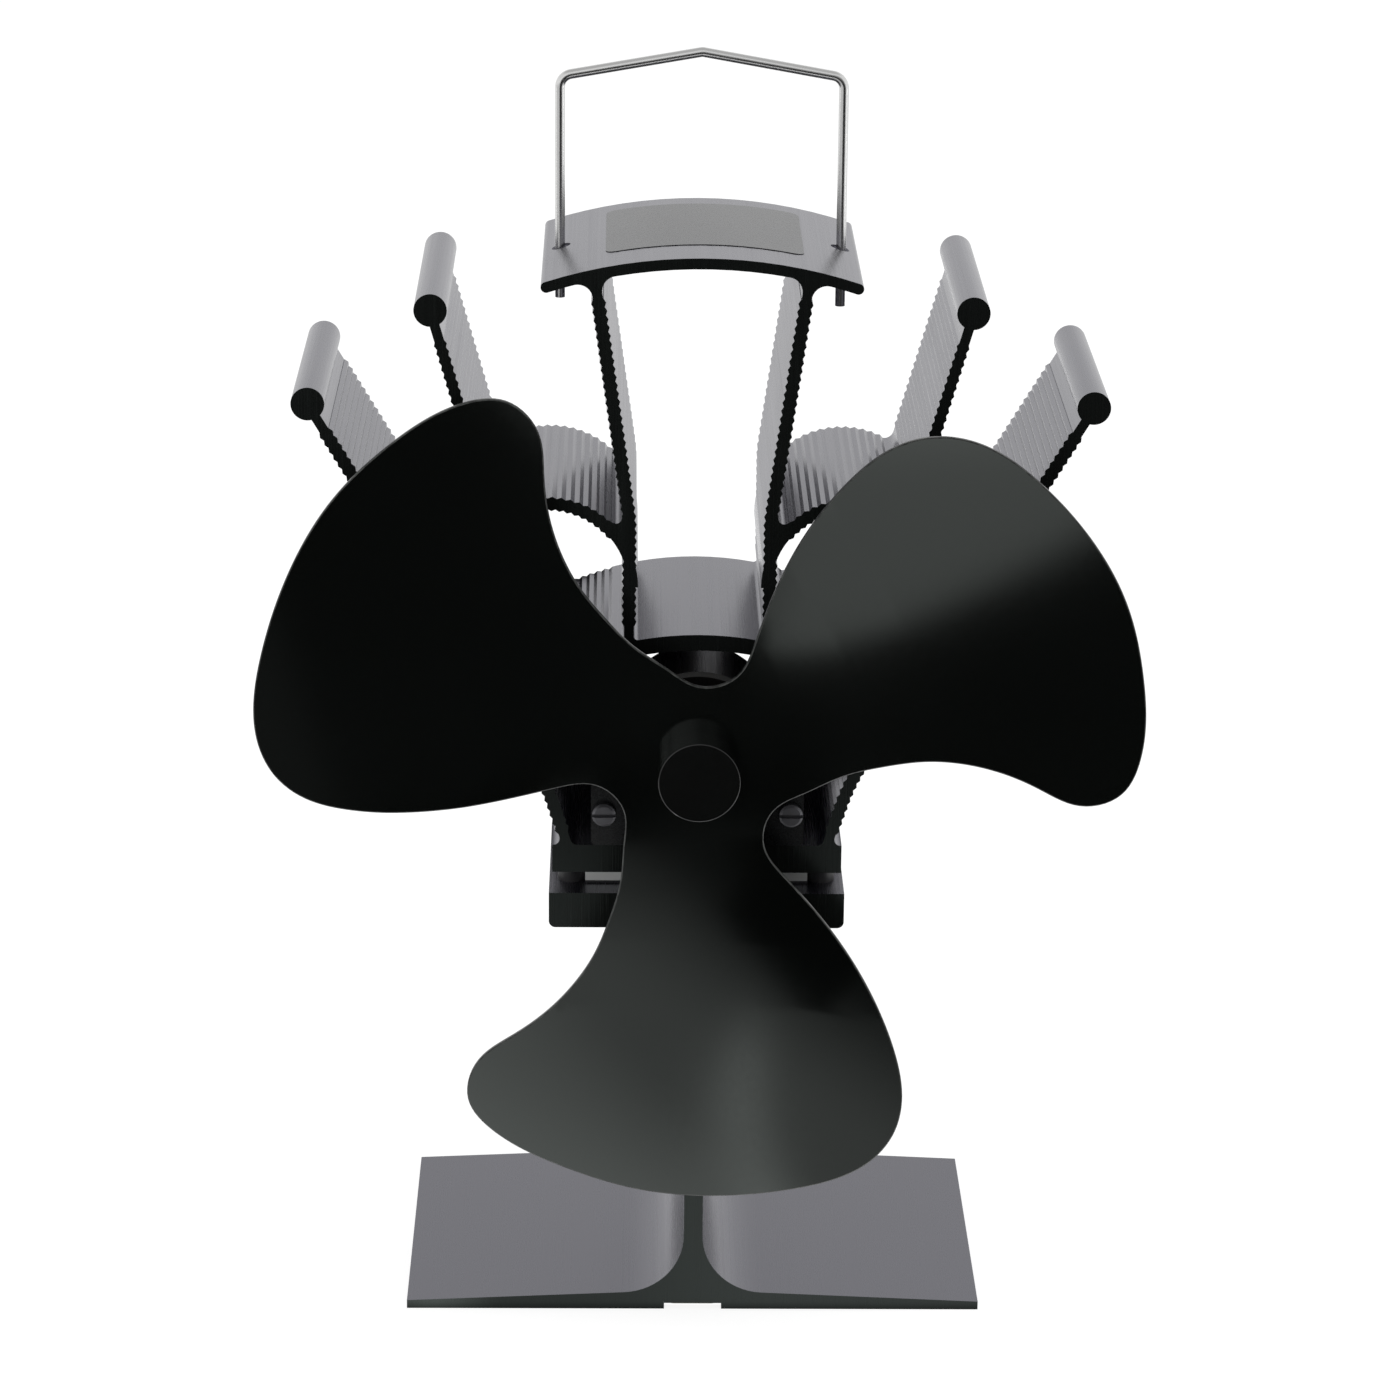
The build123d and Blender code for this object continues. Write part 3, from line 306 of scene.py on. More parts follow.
class Graph:
    """Short calls that add nodes to one node tree."""

    def __init__(self, tree):
        self.tree = tree

    def node(self, kind, **settings):
        node = self.tree.nodes.new(kind)
        for key, value in settings.items():
            setattr(node, key, value)
        return node

    def link(self, source, target):
        self.tree.links.new(source, target)

    def value(self, target, value):
        """Sets an input to a number or a colour, or links it."""
        if isinstance(value, bpy.types.NodeSocket):
            self.link(value, target)
        elif isinstance(value, tuple) and target.type == "RGBA":
            target.default_value = (*value, 1.0)
        else:
            target.default_value = value

    def math(self, operation, first, second=0.0, third=0.0):
        node = self.node("ShaderNodeMath", operation=operation)
        for i, value in enumerate((first, second, third)):
            self.value(node.inputs[i], value)
        return node.outputs[0]

    def remap(self, value, low, high, to_low, to_high, kind="LINEAR"):
        node = self.node("ShaderNodeMapRange", interpolation_type=kind)
        for i, number in enumerate((value, low, high, to_low, to_high)):
            self.value(node.inputs[i], number)
        return node.outputs["Result"]

    def smooth(self, value, low, high):
        """A soft step from 0 at low to 1 at high."""
        return self.remap(value, low, high, 0.0, 1.0, "SMOOTHSTEP")

    def split(self, vector):
        node = self.node("ShaderNodeSeparateXYZ")
        self.link(vector, node.inputs[0])
        return node.outputs

    def mix(self, share, first, second):
        node = self.node("ShaderNodeMix", data_type="RGBA")
        self.value(node.inputs["Factor"], share)
        self.value(node.inputs["A"], first)
        self.value(node.inputs["B"], second)
        return node.outputs["Result"]

    def mix_value(self, share, first, second):
        node = self.node("ShaderNodeMix", data_type="FLOAT")
        self.value(node.inputs["Factor"], share)
        self.value(node.inputs["A"], first)
        self.value(node.inputs["B"], second)
        return node.outputs["Result"]

    def mix_shader(self, share, first, second):
        node = self.node("ShaderNodeMixShader")
        self.link(share, node.inputs[0])
        self.link(first.outputs[0], node.inputs[1])
        self.link(second.outputs[0], node.inputs[2])
        return node

    def light_path(self):
        return self.node("ShaderNodeLightPath").outputs

    def seen_through(self, path):
        """1 for what the camera sees, also through something clear, and 0 for the rest."""
        return self.math("MAXIMUM", path["Is Camera Ray"], path["Is Transmission Ray"])


def empty_graph(owner):
    """The emptied node tree of a material or a world."""
    owner.use_nodes = True
    owner.node_tree.nodes.clear()
    return Graph(owner.node_tree)


class Look(Graph):
    """A material with a Principled shader, and short calls for the nodes in front of it."""

    def __init__(self, name):
        self.material = bpy.data.materials.new(name)
        self.material.use_nodes = True
        super().__init__(self.material.node_tree)
        self.shader = self.tree.nodes["Principled BSDF"]
        self.place = self.node("ShaderNodeTexCoord").outputs["Object"]

    def set(self, **inputs):
        for key, value in inputs.items():
            self.value(self.shader.inputs[key.replace("_", " ")], value)

    def noise(self, grains, detail=2.0, roughness=0.5):
        """Noise with its own number of grains per metre along X, Y and Z."""
        mapping = self.node("ShaderNodeMapping")
        mapping.inputs["Scale"].default_value = grains
        self.link(self.place, mapping.inputs["Vector"])
        noise = self.node("ShaderNodeTexNoise")
        noise.inputs["Scale"].default_value = 1.0
        noise.inputs["Detail"].default_value = detail
        noise.inputs["Roughness"].default_value = roughness
        self.link(mapping.outputs["Vector"], noise.inputs["Vector"])
        return noise.outputs["Fac"]

    def between(self, marks, low, high):
        """A value from low to high that follows a noise."""
        return self.remap(marks, noise_low, noise_high, low, high)

    def plus(self, level, cloud, amount):
        """A level, raised by up to an amount where a broad noise is dense."""
        return self.math("MULTIPLY_ADD", cloud, amount, level)

    def bump(self, height, distance, strength):
        node = self.node("ShaderNodeBump")
        node.inputs["Strength"].default_value = strength
        node.inputs["Distance"].default_value = distance
        self.link(height, node.inputs["Height"])
        self.link(node.outputs["Normal"], self.shader.inputs["Normal"])

    def direction(self, parts):
        node = self.node("ShaderNodeCombineXYZ")
        for i, part in enumerate(parts):
            node.inputs[i].default_value = part
        return node.outputs[0]

    def cut_share(self):
        """1 on faces sawn square to the extrusion, which look along Y, and 0 on its sides."""
        normal = self.split(self.node("ShaderNodeNewGeometry").outputs["Normal"])
        return self.remap(self.math("ABSOLUTE", normal["Y"]), cut_low, cut_high, 0.0, 1.0)


# Materials: each function makes one, from noise that follows how the piece was made


def anodised_extrusion():
    """Black anodised aluminium: die lines along the extrusion, saw marks across its cut ends."""
    look = Look("anodised_extrusion")
    cut = look.cut_share()
    die_lines = look.noise(grains=(2600, 9, 2600), detail=3.0, roughness=0.6)
    wide_lines = look.noise(grains=(420, 3, 420))
    saw_marks = look.noise(grains=(3400, 900, 26), roughness=0.6)
    mottle = look.noise(grains=(60, 60, 60), detail=4.0, roughness=0.55)
    lines = look.plus(die_lines, wide_lines, amount=0.6)
    side_rough = look.remap(lines, low=0.5, high=1.1, to_low=0.18, to_high=0.28)
    cut_rough = look.between(saw_marks, low=0.15, high=0.26)
    side_colour = look.mix(mottle, (0.0060, 0.0060, 0.0085), (0.0105, 0.0105, 0.0140))
    cut_colour = look.mix(mottle, (0.0030, 0.0034, 0.0032), (0.0060, 0.0066, 0.0063))
    look.set(
        Base_Color=look.mix(cut, side_colour, cut_colour),
        Roughness=look.plus(look.mix_value(cut, side_rough, cut_rough), mottle, amount=0.06),
        IOR=2.1,
        Specular_Tint=look.mix(cut, (0.86, 0.85, 1.0), (0.115, 0.134, 0.126)),
        Anisotropic=0.75,
        Anisotropic_Rotation=0.25,
        Tangent=look.direction(die_direction),
    )
    look.bump(look.mix_value(cut, lines, saw_marks), distance=0.00002, strength=0.8)
    return look.material


def black_sheet():
    """The blades' smooth black finish, with a faint grain."""
    look = Look("black_sheet")
    grain = look.noise(grains=(900, 900, 900), detail=3.0)
    cloud = look.noise(grains=(28, 28, 28), detail=3.0)
    look.set(
        Base_Color=look.mix(cloud, (0.0009, 0.0012, 0.0010), (0.0018, 0.0022, 0.0020)),
        Roughness=look.plus(look.between(grain, low=0.075, high=0.095), cloud, amount=0.05),
        IOR=1.57,
        Specular_Tint=(0.92, 1.0, 0.95),
    )
    look.bump(grain, distance=0.000004, strength=0.3)
    return look.material


def sheet_edge():
    """The blades' rim, lighter than the sheet: wear where the finish thins and the metal starts to show, and
    a painted highlight along the edge.
    """
    look = Look("sheet_edge")
    wear_and_highlight = look.noise(grains=(500, 500, 500), detail=4.0, roughness=0.6)
    worn_and_highlit = look.remap(wear_and_highlight, low=0.4, high=0.7, to_low=0.0, to_high=1.0)
    look.set(
        # Lighter and more metallic where high: wear, and a painted highlight along the rim
        Base_Color=look.mix(worn_and_highlit, (0.005, 0.006, 0.005), (0.06, 0.063, 0.06)),
        Roughness=look.between(wear_and_highlight, low=0.26, high=0.4),
        Metallic=look.remap(wear_and_highlight, low=0.5, high=0.8, to_low=0.0, to_high=0.5),
    )
    look.bump(wear_and_highlight, distance=0.00001, strength=0.3)
    return look.material


def black_cap():
    """The hub cap's satin black, a little hazy."""
    look = Look("black_cap")
    grain = look.noise(grains=(1400, 1400, 1400))
    haze = look.noise(grains=(90, 90, 90), detail=4.0)
    look.set(
        Base_Color=look.mix(haze, (0.0014, 0.0016, 0.0015), (0.0030, 0.0034, 0.0032)),
        Roughness=look.plus(look.between(grain, low=0.09, high=0.12), haze, amount=0.05),
    )
    look.bump(grain, distance=0.000003, strength=0.25)
    return look.material


def drawn_wire():
    """Bright stainless wire, with drawing lines that follow its legs and its top bar."""
    look = Look("drawn_wire")
    on_legs = look.noise(grains=(2600, 2600, 40))
    on_bar = look.noise(grains=(40, 2600, 2600))
    bar_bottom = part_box("carry_handle")[1].z - wire_bar_depth
    bar = look.smooth(look.split(look.place)["Z"], bar_bottom - wire_turn, bar_bottom)
    draw_lines = look.mix_value(bar, on_legs, on_bar)
    stain = look.noise(grains=(120, 120, 60), detail=3.0)
    look.set(
        Base_Color=look.mix(stain, (0.66, 0.66, 0.655), (0.74, 0.74, 0.735)),
        Metallic=1.0,
        Roughness=look.plus(look.between(draw_lines, low=0.16, high=0.22), stain, amount=0.08),
    )
    look.bump(draw_lines, distance=0.000003, strength=0.3)
    return look.material


def label_film():
    """Dark grey film with an even, fine grain."""
    look = Look("label_film")
    grain = look.noise(grains=(2200, 2200, 2200))
    fade = look.noise(grains=(70, 25, 70), detail=3.0)
    look.set(
        Base_Color=look.mix(fade, (0.020, 0.021, 0.023), (0.034, 0.035, 0.038)),
        Roughness=look.plus(look.between(grain, low=0.20, high=0.26), fade, amount=0.06),
        IOR=1.5,
    )
    look.bump(grain, distance=0.000002, strength=0.3)
    return look.material


def black_can():
    """The motor's drawn can: black finish over lines that run along it."""
    look = Look("black_can")
    lines = look.noise(grains=(1500, 14, 1500), detail=3.0)
    haze = look.noise(grains=(120, 120, 120), detail=3.0)
    look.set(
        Base_Color=look.mix(haze, (0.0040, 0.0038, 0.0036), (0.0090, 0.0086, 0.0080)),
        Roughness=look.plus(look.between(lines, low=0.22, high=0.32), haze, amount=0.05),
        IOR=1.4,
    )
    look.bump(lines, distance=0.00001, strength=0.5)
    return look.material


def metal(name, dark, light, roughness, grains):
    """A bare metal, with marks that run as the grains say and a faint stain."""
    look = Look(name)
    marks = look.noise(grains, detail=3.0)
    stain = look.noise(grains=(150, 150, 150), detail=3.0)
    look.set(
        Base_Color=look.mix(stain, dark, light),
        Metallic=1.0,
        Roughness=look.between(marks, *roughness),
    )
    look.bump(marks, distance=0.000008, strength=0.4)
    return look.material


def matt(name, dark, light, roughness, grains, depth, index):
    """A matt material with an even grain."""
    look = Look(name)
    grain = look.noise((grains, grains, grains), detail=3.0)
    cloud = look.noise(grains=(80, 80, 80), detail=3.0)
    look.set(
        Base_Color=look.mix(cloud, dark, light),
        Roughness=look.between(grain, *roughness),
        IOR=index,
    )
    look.bump(grain, depth, strength=0.4)
    return look.material


materials = {}
for make in (anodised_extrusion, black_sheet, sheet_edge, black_cap, drawn_wire, label_film, black_can):
    materials[make.__name__] = make()
for name, values in metals.items():
    materials[name] = metal(name, *values)
for name, values in matts.items():
    materials[name] = matt(name, *values)
for name, piece in frame["nodes"].items():
    piece.data.materials.clear()
    piece.data.materials.append(materials[node_materials[name]])


def mesh_object(name, points, faces, looks, face_looks=None, normals=None):
    """A smooth mesh in the scene. Each face may name its look by number, and each point its normal."""
    mesh = bpy.data.meshes.new(name)
    mesh.from_pydata([tuple(p) for p in points], [], faces)
    for material in looks:
        mesh.materials.append(material)
    if face_looks is not None:
        mesh.polygons.foreach_set("material_index", face_looks)
    mesh.shade_smooth()
    if normals is not None:
        mesh.normals_split_custom_set_from_vertices([tuple(n) for n in normals])
    piece = bpy.data.objects.new(name, mesh)
    bpy.context.scene.collection.objects.link(piece)
    return piece


# Fan blade: one sheet, cut to its edge, bowed and pitched, with its rim rounded


def closed_spline(knots, step):
    """Points about a step apart on a smooth closed curve through the knots."""
    knots = np.array(knots)
    count = len(knots)
    spans = np.linalg.norm(np.roll(knots, -1, 0) - knots, axis=1)
    system = np.zeros((count, count))
    pull = np.zeros((count, 2))
    for i in range(count):
        before, after = spans[i - 1], spans[i]
        system[i, i - 1] = before
        system[i, i] = 2 * (before + after)
        system[i, (i + 1) % count] = after
        ahead = (knots[(i + 1) % count] - knots[i]) / after
        behind = (knots[i] - knots[i - 1]) / before
        pull[i] = 6 * (ahead - behind)
    bend = np.linalg.solve(system, pull)
    points = []
    for i in range(count):
        span, j = spans[i], (i + 1) % count
        pieces = max(2, round(span / step))
        for k in range(pieces):
            t = span * k / pieces
            u = span - t
            point = (bend[i] * u**3 + bend[j] * t**3) / (6 * span)
            point += (knots[i] / span - bend[i] * span / 6) * u
            point += (knots[j] / span - bend[j] * span / 6) * t
            points.append(point)
    return np.array(points)


def turned(point, angle):
    """A point of the flat sheet, turned about its middle."""
    x = point[0] * cos(angle) - point[1] * sin(angle)
    z = point[0] * sin(angle) + point[1] * cos(angle)
    return x, z


def forward(x, z):
    """How far the sheet's front stands forward of its flat middle, in millimetres."""
    angle = atan2(z, x) + pi / 2
    sector = round(angle / (2 * pi / blade_count)) * 2 * pi / blade_count
    out, across = turned((x, z), pi / 2 - sector)
    if out <= blade_root:
        return 0.0
    way = (out - blade_root) / (blade_radius + blade_overrun - blade_root)
    share = way * way * (1 + root_softness) / (way + root_softness)
    bow = blade_bow * np.interp(way, *bow_shares) * (across / blade_half_chord) ** 2
    return tan(radians(blade_pitch)) * share * across + bow + blade_dish * share**2


def sheet_normal(x, z):
    """The front's normal in the frame's axes."""
    slope_x = (forward(x + slope_step, z) - forward(x - slope_step, z)) / (2 * slope_step)
    slope_z = (forward(x, z + slope_step) - forward(x, z - slope_step)) / (2 * slope_step)
    normal = Vector((-slope_x, -1.0, -slope_z))
    return normal.normalized()


def blade_outline():
    """The rim of all blades as one closed loop of points."""
    knots = []
    for blade in range(blade_count):
        turn = -pi / 2 + 2 * pi * blade / blade_count
        knots.append(turned((valley_share * blade_radius, 0), turn - pi / blade_count))
        for out, across in blade_edge_shares:
            knots.append(turned((out * blade_radius, across * blade_radius), turn))
    return closed_spline(knots, blade_edge_step)


def outward_normals(loop):
    """Unit normals of a closed counter-clockwise loop, pointing out of it."""
    along = np.roll(loop, -1, 0) - np.roll(loop, 1, 0)
    normals = np.stack([along[:, 1], -along[:, 0]], 1)
    return normals / np.linalg.norm(normals, axis=1)[:, None]


def inside_loop(points, loop):
    """Which points lie inside a closed loop."""
    inside = np.zeros(len(points), bool)
    for (x1, z1), (x2, z2) in zip(loop, np.roll(loop, -1, 0)):
        if z1 == z2:
            continue
        spans = (z1 > points[:, 1]) != (z2 > points[:, 1])
        crossing = x1 + (points[:, 1] - z1) * (x2 - x1) / (z2 - z1)
        inside ^= spans & (points[:, 0] < crossing)
    return inside


def ring_edges(start, count):
    """The edges of a closed ring of points."""
    return [(start + i, start + (i + 1) % count) for i in range(count)]


def cut_sheet(rim, rim_out, inner):
    """The flat sheet as points and triangles. Its inner line's points come first, then its bore's."""
    turns = np.linspace(0, 2 * pi, bore_sides, endpoint=False)
    bore = np.stack([np.cos(turns), np.sin(turns)], 1) * blade_bore
    ticks = np.arange(-blade_radius, blade_radius, blade_grid)
    grid = np.array([(x + (row % 2) * blade_grid / 2, z) for row, z in enumerate(ticks) for x in ticks])
    keep = inside_loop(grid, rim - rim_out * blade_grid * grid_margin_share)
    keep &= np.hypot(grid[:, 0], grid[:, 1]) > blade_bore + blade_grid / 2
    flat = [Vector(p) for p in np.concatenate([inner, bore, grid[keep]])]
    edges = ring_edges(0, len(inner)) + ring_edges(len(inner), bore_sides)
    points, _, triangles, _, _, _ = delaunay_2d_cdt(flat, edges, [], only_inside, weld_distance)
    kept = []
    for triangle in triangles:
        middle = sum((points[i] for i in triangle), Vector((0, 0))) / 3
        if middle.length > blade_bore * cos(pi / bore_sides):
            kept.append(tuple(triangle))
    return [(p.x, p.y) for p in points], kept


def make_blade():
    """The sheet's front and back, the round rim between them, and the wall of its bore."""
    front_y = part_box("hub_cap")[1].y
    rim = blade_outline()
    rim_out = outward_normals(rim)
    inner = rim - rim_out * (blade_edge_round + blade_inset)
    flat, triangles = cut_sheet(rim, rim_out, inner)
    flat_normals = [sheet_normal(x, z) for x, z in flat]
    count, ring = len(flat), len(inner)
    looks = [materials["black_sheet"], materials["sheet_edge"]]
    sheet_look, rim_look = 0, 1
    vertices, normals = [], []

    def add(x, z, depth, normal):
        height = axis_height + z * MM
        vertices.append((x * MM, front_y - (forward(x, z) - depth) * MM, height))
        normals.append(normal)

    for depth, side in ((0, 1), (blade_thickness, -1)):
        for (x, z), normal in zip(flat, flat_normals):
            add(x, z, depth, normal * side)
    faces = []
    for a, b, c in triangles:
        faces.append((a, b, c))
        faces.append((count + a, count + c, count + b))
    face_looks = [sheet_look] * len(faces)

    # The rim's rings: how far each is turned from the front, and the depth that its round is centred on
    front_centre, back_centre = blade_edge_round, blade_thickness - blade_edge_round
    rings = [(angle, front_centre) for angle in front_rim_turns]
    rings += [(angle, back_centre) for angle in back_rim_turns]
    starts = [0]
    for angle, centre in rings:
        starts.append(len(vertices))
        turn = radians(angle)
        for i in range(ring):
            x, z = inner[i] + rim_out[i] * blade_edge_round * sin(turn)
            outward = Vector((rim_out[i][0], 0, rim_out[i][1]))
            normal = flat_normals[i] * cos(turn) + outward * sin(turn)
            add(x, z, centre - blade_edge_round * cos(turn), normal.normalized())
    starts.append(count)
    for upper, lower in zip(starts, starts[1:]):
        for i, j in ring_edges(0, ring):
            faces.append((upper + j, upper + i, lower + i, lower + j))
            face_looks.append(rim_look)
    for a, b in ring_edges(ring, bore_sides):
        faces.append((a, b, count + b, count + a))
        face_looks.append(sheet_look)
    blade = mesh_object("blade_sheet", vertices, faces, looks, face_looks, normals)
    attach(blade, "rotor")
    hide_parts("fan_blade")


def make_cap():
    """The hub cap, turned with a fine round at its front edge."""
    low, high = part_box("hub_cap")
    radius = (high.x - low.x) / 2
    bore = blade_bore * MM
    # Each ring: radius, depth and the way that it faces: 0 forward, 90 outward, 180 back, 270 inward
    rings = []
    for facing in cap_round_turns:
        turn = radians(facing)
        rings.append((radius - cap_round * (1 - sin(turn)), low.y + cap_round * (1 - cos(turn)), facing))
    rings.append((radius, high.y, 90))
    rings.append((bore, high.y, 180))
    rings.append((bore, low.y + cap_floor, 270))
    points = [(0, low.y, axis_height), (0, low.y + cap_floor, axis_height)]
    normals = [(0, -1, 0), (0, 1, 0)]
    for ring_radius, depth, facing in rings:
        out, back = sin(radians(facing)), -cos(radians(facing))
        for i in range(cap_sides):
            turn = 2 * pi * i / cap_sides
            points.append((ring_radius * cos(turn), depth, axis_height + ring_radius * sin(turn)))
            normals.append((out * cos(turn), back, out * sin(turn)))
    faces = []
    last = len(points) - cap_sides
    for i, j in ring_edges(0, cap_sides):
        faces.append((0, 2 + i, 2 + j))
        faces.append((1, last + j, last + i))
        for start in range(2, last, cap_sides):
            following = start + cap_sides
            faces.append((start + j, start + i, following + i, following + j))
    cap = mesh_object("cap_shell", points, faces, [materials["black_cap"]], normals=normals)
    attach(cap, "rotor")
    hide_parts("hub_cap")


def label_layer(height):
    """One face of the film, column by column, at a height over the plate."""
    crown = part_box("heat_sink")[1].z
    points = []
    for i in range(label_columns + 1):
        x = label_left + (label_right - label_left) * (1 - cos(pi * i / label_columns)) / 2
        edge = min(x - label_left, label_right - x)
        corner = max(0.0, label_corner - edge)
        nip = label_corner - sqrt(max(0.0, label_corner**2 - corner**2))
        rise = sqrt(plate_radius**2 - x**2) - plate_radius
        for j in range(label_rows + 1):
            y = label_front + nip + (label_back - label_front - 2 * nip) * j / label_rows
            points.append((x, y, crown + rise + height))
    return points


def make_label():
    """A thin film with round corners, curved over the top plate."""
    points = label_layer(0) + label_layer(label_thickness)
    column = label_rows + 1
    layer = (label_columns + 1) * column
    faces = []
    for i in range(label_columns):
        for j in range(label_rows):
            a = i * column + j
            b = a + column
            faces.append((a, a + 1, b + 1, b))
            faces.append((layer + a, layer + b, layer + b + 1, layer + a + 1))
    border = [i * column for i in range(label_columns + 1)]
    border += [label_columns * column + j for j in range(1, column)]
    border += [i * column + label_rows for i in range(label_columns - 1, -1, -1)]
    border += [j for j in range(label_rows - 1, 0, -1)]
    for a, b in zip(border, border[1:] + border[:1]):
        faces.append((a, b, layer + b, layer + a))
    label = mesh_object("label_film", points, faces, [materials["label_film"]])
    label.data.set_sharp_from_angle(angle=radians(label_crease))
    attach(label, "stand")


# Stage: a white tent round the fan, open in front to a dark room. Gloss sees it, the camera sees only white.


def wall_shares(graph, x, y):
    """1 past the tent's left wall and past its right one, at each place of the floor."""
    from_left = graph.math("MULTIPLY_ADD", y, -wall_left_rate, x)
    left = graph.smooth(from_left, wall_left + wall_soft, wall_left - wall_soft)
    from_right = graph.math("MULTIPLY_ADD", y, -wall_right_rate, x)
    right = graph.smooth(from_right, wall_right - wall_soft, wall_right + wall_soft)
    return graph.math("MAXIMUM", left, right)


def highlight_patch_share(graph, x, y):
    """1 in the middle of the painted highlight patch, and 0 outside it."""
    aside = graph.math("ABSOLUTE", graph.math("SUBTRACT", x, patch_x))
    across = graph.smooth(aside, patch_half_width, 0.0)
    along = graph.smooth(y, patch_front, patch_back)
    return graph.math("MULTIPLY", across, along)


def mirrored_floor(graph):
    """How bright each place of the floor is to gloss."""
    place = graph.split(graph.node("ShaderNodeTexCoord").outputs["Object"])
    x, y = place["X"], place["Y"]
    behind = graph.smooth(y, shade_end, -shade_end)
    near = graph.remap(y, shade_start, shade_end, glare_level, shade_level)
    near = graph.math("MINIMUM", near, graph.remap(y, sheet_start, glare_end, full_white, glare_level))
    near = graph.math("MAXIMUM", near, behind)
    # Painted shade at the left of what gloss sees on the floor
    side = graph.remap(x, left_x, right_x, left_shade_level, full_white, "SMOOTHSTEP")
    side = graph.math("MAXIMUM", side, behind)
    # Adds the painted highlight patch
    side = graph.math("MULTIPLY_ADD", highlight_patch_share(graph, x, y), highlight_patch_level, side)
    edge = graph.remap(x, edge_step_left, edge_step_right, edge_left, edge_right, "SMOOTHSTEP")
    past_edge = graph.math("SUBTRACT", graph.math("MULTIPLY_ADD", x, -edge_slant, y), edge)
    sheet = graph.smooth(past_edge, -edge_soft, edge_soft)
    tent = graph.math("MAXIMUM", sheet, wall_shares(graph, x, y))
    level = graph.math("MULTIPLY", graph.math("MULTIPLY", near, side), tent)
    return graph.math("MAXIMUM", level, room_dark)


def floor_material():
    """White to the camera, a plain pale floor to the light, and the tent's sheet to gloss."""
    material = bpy.data.materials.new("white_floor")
    graph = empty_graph(material)
    path = graph.light_path()
    matt_floor = graph.node("ShaderNodeBsdfDiffuse")
    graph.value(matt_floor.inputs["Color"], floor_colour)
    glow = graph.node("ShaderNodeEmission")
    glow.inputs["Strength"].default_value = floor_glow
    glow_share = graph.math("MULTIPLY", graph.seen_through(path), floor_glow_share)
    shown = graph.mix_shader(glow_share, matt_floor, glow)
    mirrored = graph.node("ShaderNodeEmission")
    graph.link(mirrored_floor(graph), mirrored.inputs["Strength"])
    above = graph.mix_shader(path["Is Glossy Ray"], shown, mirrored)
    # From below, the camera looks through the floor
    below = graph.node("ShaderNodeNewGeometry").outputs["Backfacing"]
    clear_share = graph.math("MULTIPLY", below, path["Is Camera Ray"])
    clear = graph.mix_shader(clear_share, above, graph.node("ShaderNodeBsdfTransparent"))
    graph.link(clear.outputs[0], graph.node("ShaderNodeOutputMaterial").inputs[0])
    return material


def make_floor():
    """A floor that is open under the foot, so that the underside shows and is lit."""
    low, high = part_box("base_stand")
    left, right = low.x + foot_cover, high.x - foot_cover
    front, back = low.y + foot_cover, high.y - foot_cover
    points = [(x * floor_size, y * floor_size, 0) for x, y in ((-1, -1), (1, -1), (1, 1), (-1, 1))]
    points += [(left, front, 0), (right, front, 0), (right, back, 0), (left, back, 0)]
    faces = [(i, j, 4 + j, 4 + i) for i, j in ring_edges(0, 4)]
    mesh_object("floor", points, faces, [floor_material()])


def make_world():
    """White to the camera, plain light to matt surfaces, and the tent and the dark room to gloss."""
    world = bpy.data.worlds.new("surround")
    bpy.context.scene.world = world
    graph = empty_graph(world)
    path = graph.light_path()
    way = graph.split(graph.node("ShaderNodeTexCoord").outputs["Generated"])
    x, y, z = way["X"], way["Y"], way["Z"]
    left = graph.math("SUBTRACT", graph.math("MULTIPLY_ADD", y, side_left_lean, x), z)
    left = graph.smooth(left, side_blur, -side_blur)
    right = graph.smooth(graph.math("MULTIPLY_ADD", y, side_right_lean, x), -side_blur, side_blur)
    back = graph.smooth(graph.math("MULTIPLY_ADD", z, back_lean, y), back_start, back_full)
    roof = graph.math("MAXIMUM", back, graph.smooth(z, roof_start, roof_full))
    tent = graph.math("MAXIMUM", graph.math("MAXIMUM", left, right), roof)
    room = graph.remap(z, room_rise_start, room_rise_full, room_horizon, room_high, "SMOOTHSTEP")
    screen = graph.remap(z, screen_fall_start, screen_fall_full, screen_low_white, screen_white)
    screen = graph.mix_value(graph.smooth(z, overhead_start, overhead_full), screen, overhead_white)
    gloss = graph.mix_value(tent, room, screen)
    plain = graph.mix_value(path["Is Glossy Ray"], world_light, gloss)
    shown = graph.mix_value(graph.seen_through(path), plain, full_white)
    background = graph.node("ShaderNodeBackground")
    graph.value(background.inputs["Color"], (full_white, full_white, full_white))
    graph.link(shown, background.inputs["Strength"])
    graph.link(background.outputs[0], graph.node("ShaderNodeOutputWorld").inputs[0])


def make_card(name, left, right, bottom, top, depth, material):
    """An upright card, square to Y, that only gloss sees: painted shade in reflections."""
    corners = ((left, bottom), (right, bottom), (right, top), (left, top))
    card = mesh_object(name, [(x, depth, z) for x, z in corners], [(0, 1, 2, 3)], [material])
    card.visible_camera = False
    card.visible_diffuse = False
    card.visible_shadow = False


def make_bay_shade_cards():
    """Painted shade: two black cards close behind the motor's bay, which only gloss sees, so that the bay
    stays dark in reflections.
    """
    look = Look("bay_shade_card")
    look.set(Base_Color=painted_shade_colour)
    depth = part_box("heat_sink")[1].y + card_gap
    # Painted shade on both sides; the slot between the two cards paints a highlight on the motor's can
    make_card("bay_shade_left", -card_reach, highlight_slot_left, card_bottom, card_top, depth, look.material)
    make_card("bay_shade_right", highlight_slot_right, card_reach, card_bottom, card_top, depth, look.material)


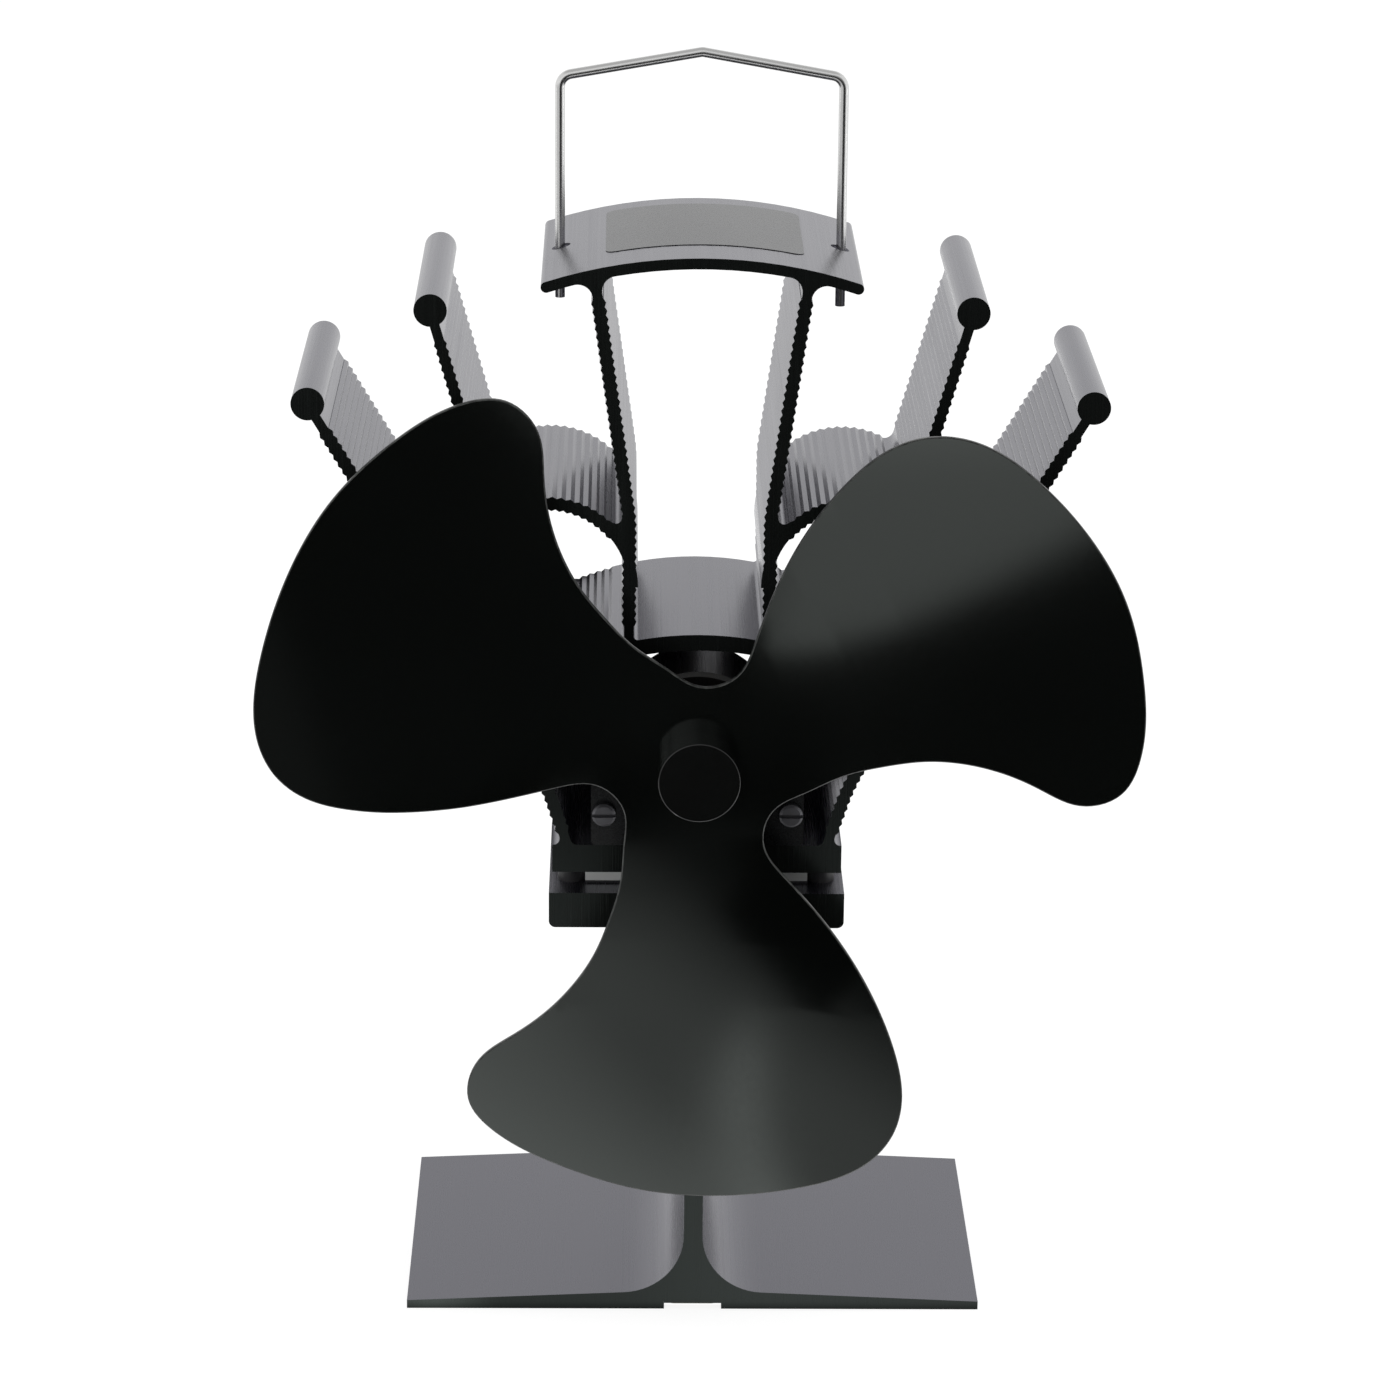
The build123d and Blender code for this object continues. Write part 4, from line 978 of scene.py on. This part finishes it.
def make_shade_scrim():
    """Painted shade: a soft black card in front of the hub, which only gloss sees, mirrored in the lower
    blade's root.
    """
    material = bpy.data.materials.new("painted_shade_scrim")
    graph = empty_graph(material)
    place = graph.split(graph.node("ShaderNodeTexCoord").outputs["Object"])
    aslant = graph.math("MULTIPLY_ADD", place["X"], scrim_slant, place["Z"])
    cover = graph.remap(aslant, scrim_clear, scrim_black, 0.0, scrim_cover, "SMOOTHSTEP")
    aside = graph.math("ABSOLUTE", place["X"])
    sides = graph.smooth(aside, scrim_reach, scrim_reach - scrim_side_fade)
    top = graph.smooth(place["Z"], scrim_top, scrim_top - scrim_top_fade)
    cover = graph.math("MULTIPLY", cover, graph.math("MULTIPLY", sides, top))
    shade_cloth = graph.node("ShaderNodeBsdfDiffuse")
    graph.value(shade_cloth.inputs["Color"], painted_shade_colour)
    shown = graph.mix_shader(cover, graph.node("ShaderNodeBsdfTransparent"), shade_cloth)
    graph.link(shown.outputs[0], graph.node("ShaderNodeOutputMaterial").inputs[0])
    make_card("scrim", -scrim_reach, scrim_reach, scrim_bottom, scrim_top, scrim_depth, material)


def area_light(name, place, target, width, height, power):
    """A soft rectangular lamp that gloss doesn't see."""
    data = bpy.data.lights.new(name, "AREA")
    data.shape = "RECTANGLE"
    data.size = width
    data.size_y = height
    data.energy = power
    lamp = bpy.data.objects.new(name, data)
    bpy.context.scene.collection.objects.link(lamp)
    lamp.visible_glossy = False
    lamp.location = place
    lamp.rotation_euler = (Vector(target) - Vector(place)).to_track_quat("-Z", "Y").to_euler()


def make_camera():
    """The photograph's own view."""
    ahead = Vector((
        sin(camera_yaw) * cos(camera_pitch),
        cos(camera_yaw) * cos(camera_pitch),
        -sin(camera_pitch),
    ))
    level = Vector((cos(camera_yaw), -sin(camera_yaw), 0))
    above = level.cross(ahead)
    right = level * cos(camera_roll) + above * sin(camera_roll)
    up = above * cos(camera_roll) - level * sin(camera_roll)
    data = bpy.data.cameras.new("camera")
    data.lens = camera_lens
    data.sensor_width = camera_film
    data.clip_start = camera_clip
    camera = bpy.data.objects.new("camera", data)
    bpy.context.scene.collection.objects.link(camera)
    turn = Matrix((right, up, -ahead)).transposed()
    camera.matrix_world = Matrix.Translation(camera_place) @ turn.to_4x4()
    bpy.context.scene.camera = camera


make_blade()
make_cap()
make_label()
make_floor()
make_world()
make_bay_shade_cards()
make_shade_scrim()
for name, values in lamps.items():
    area_light(name, *values)
make_camera()
bpy.context.scene.view_settings.view_transform = "Standard"
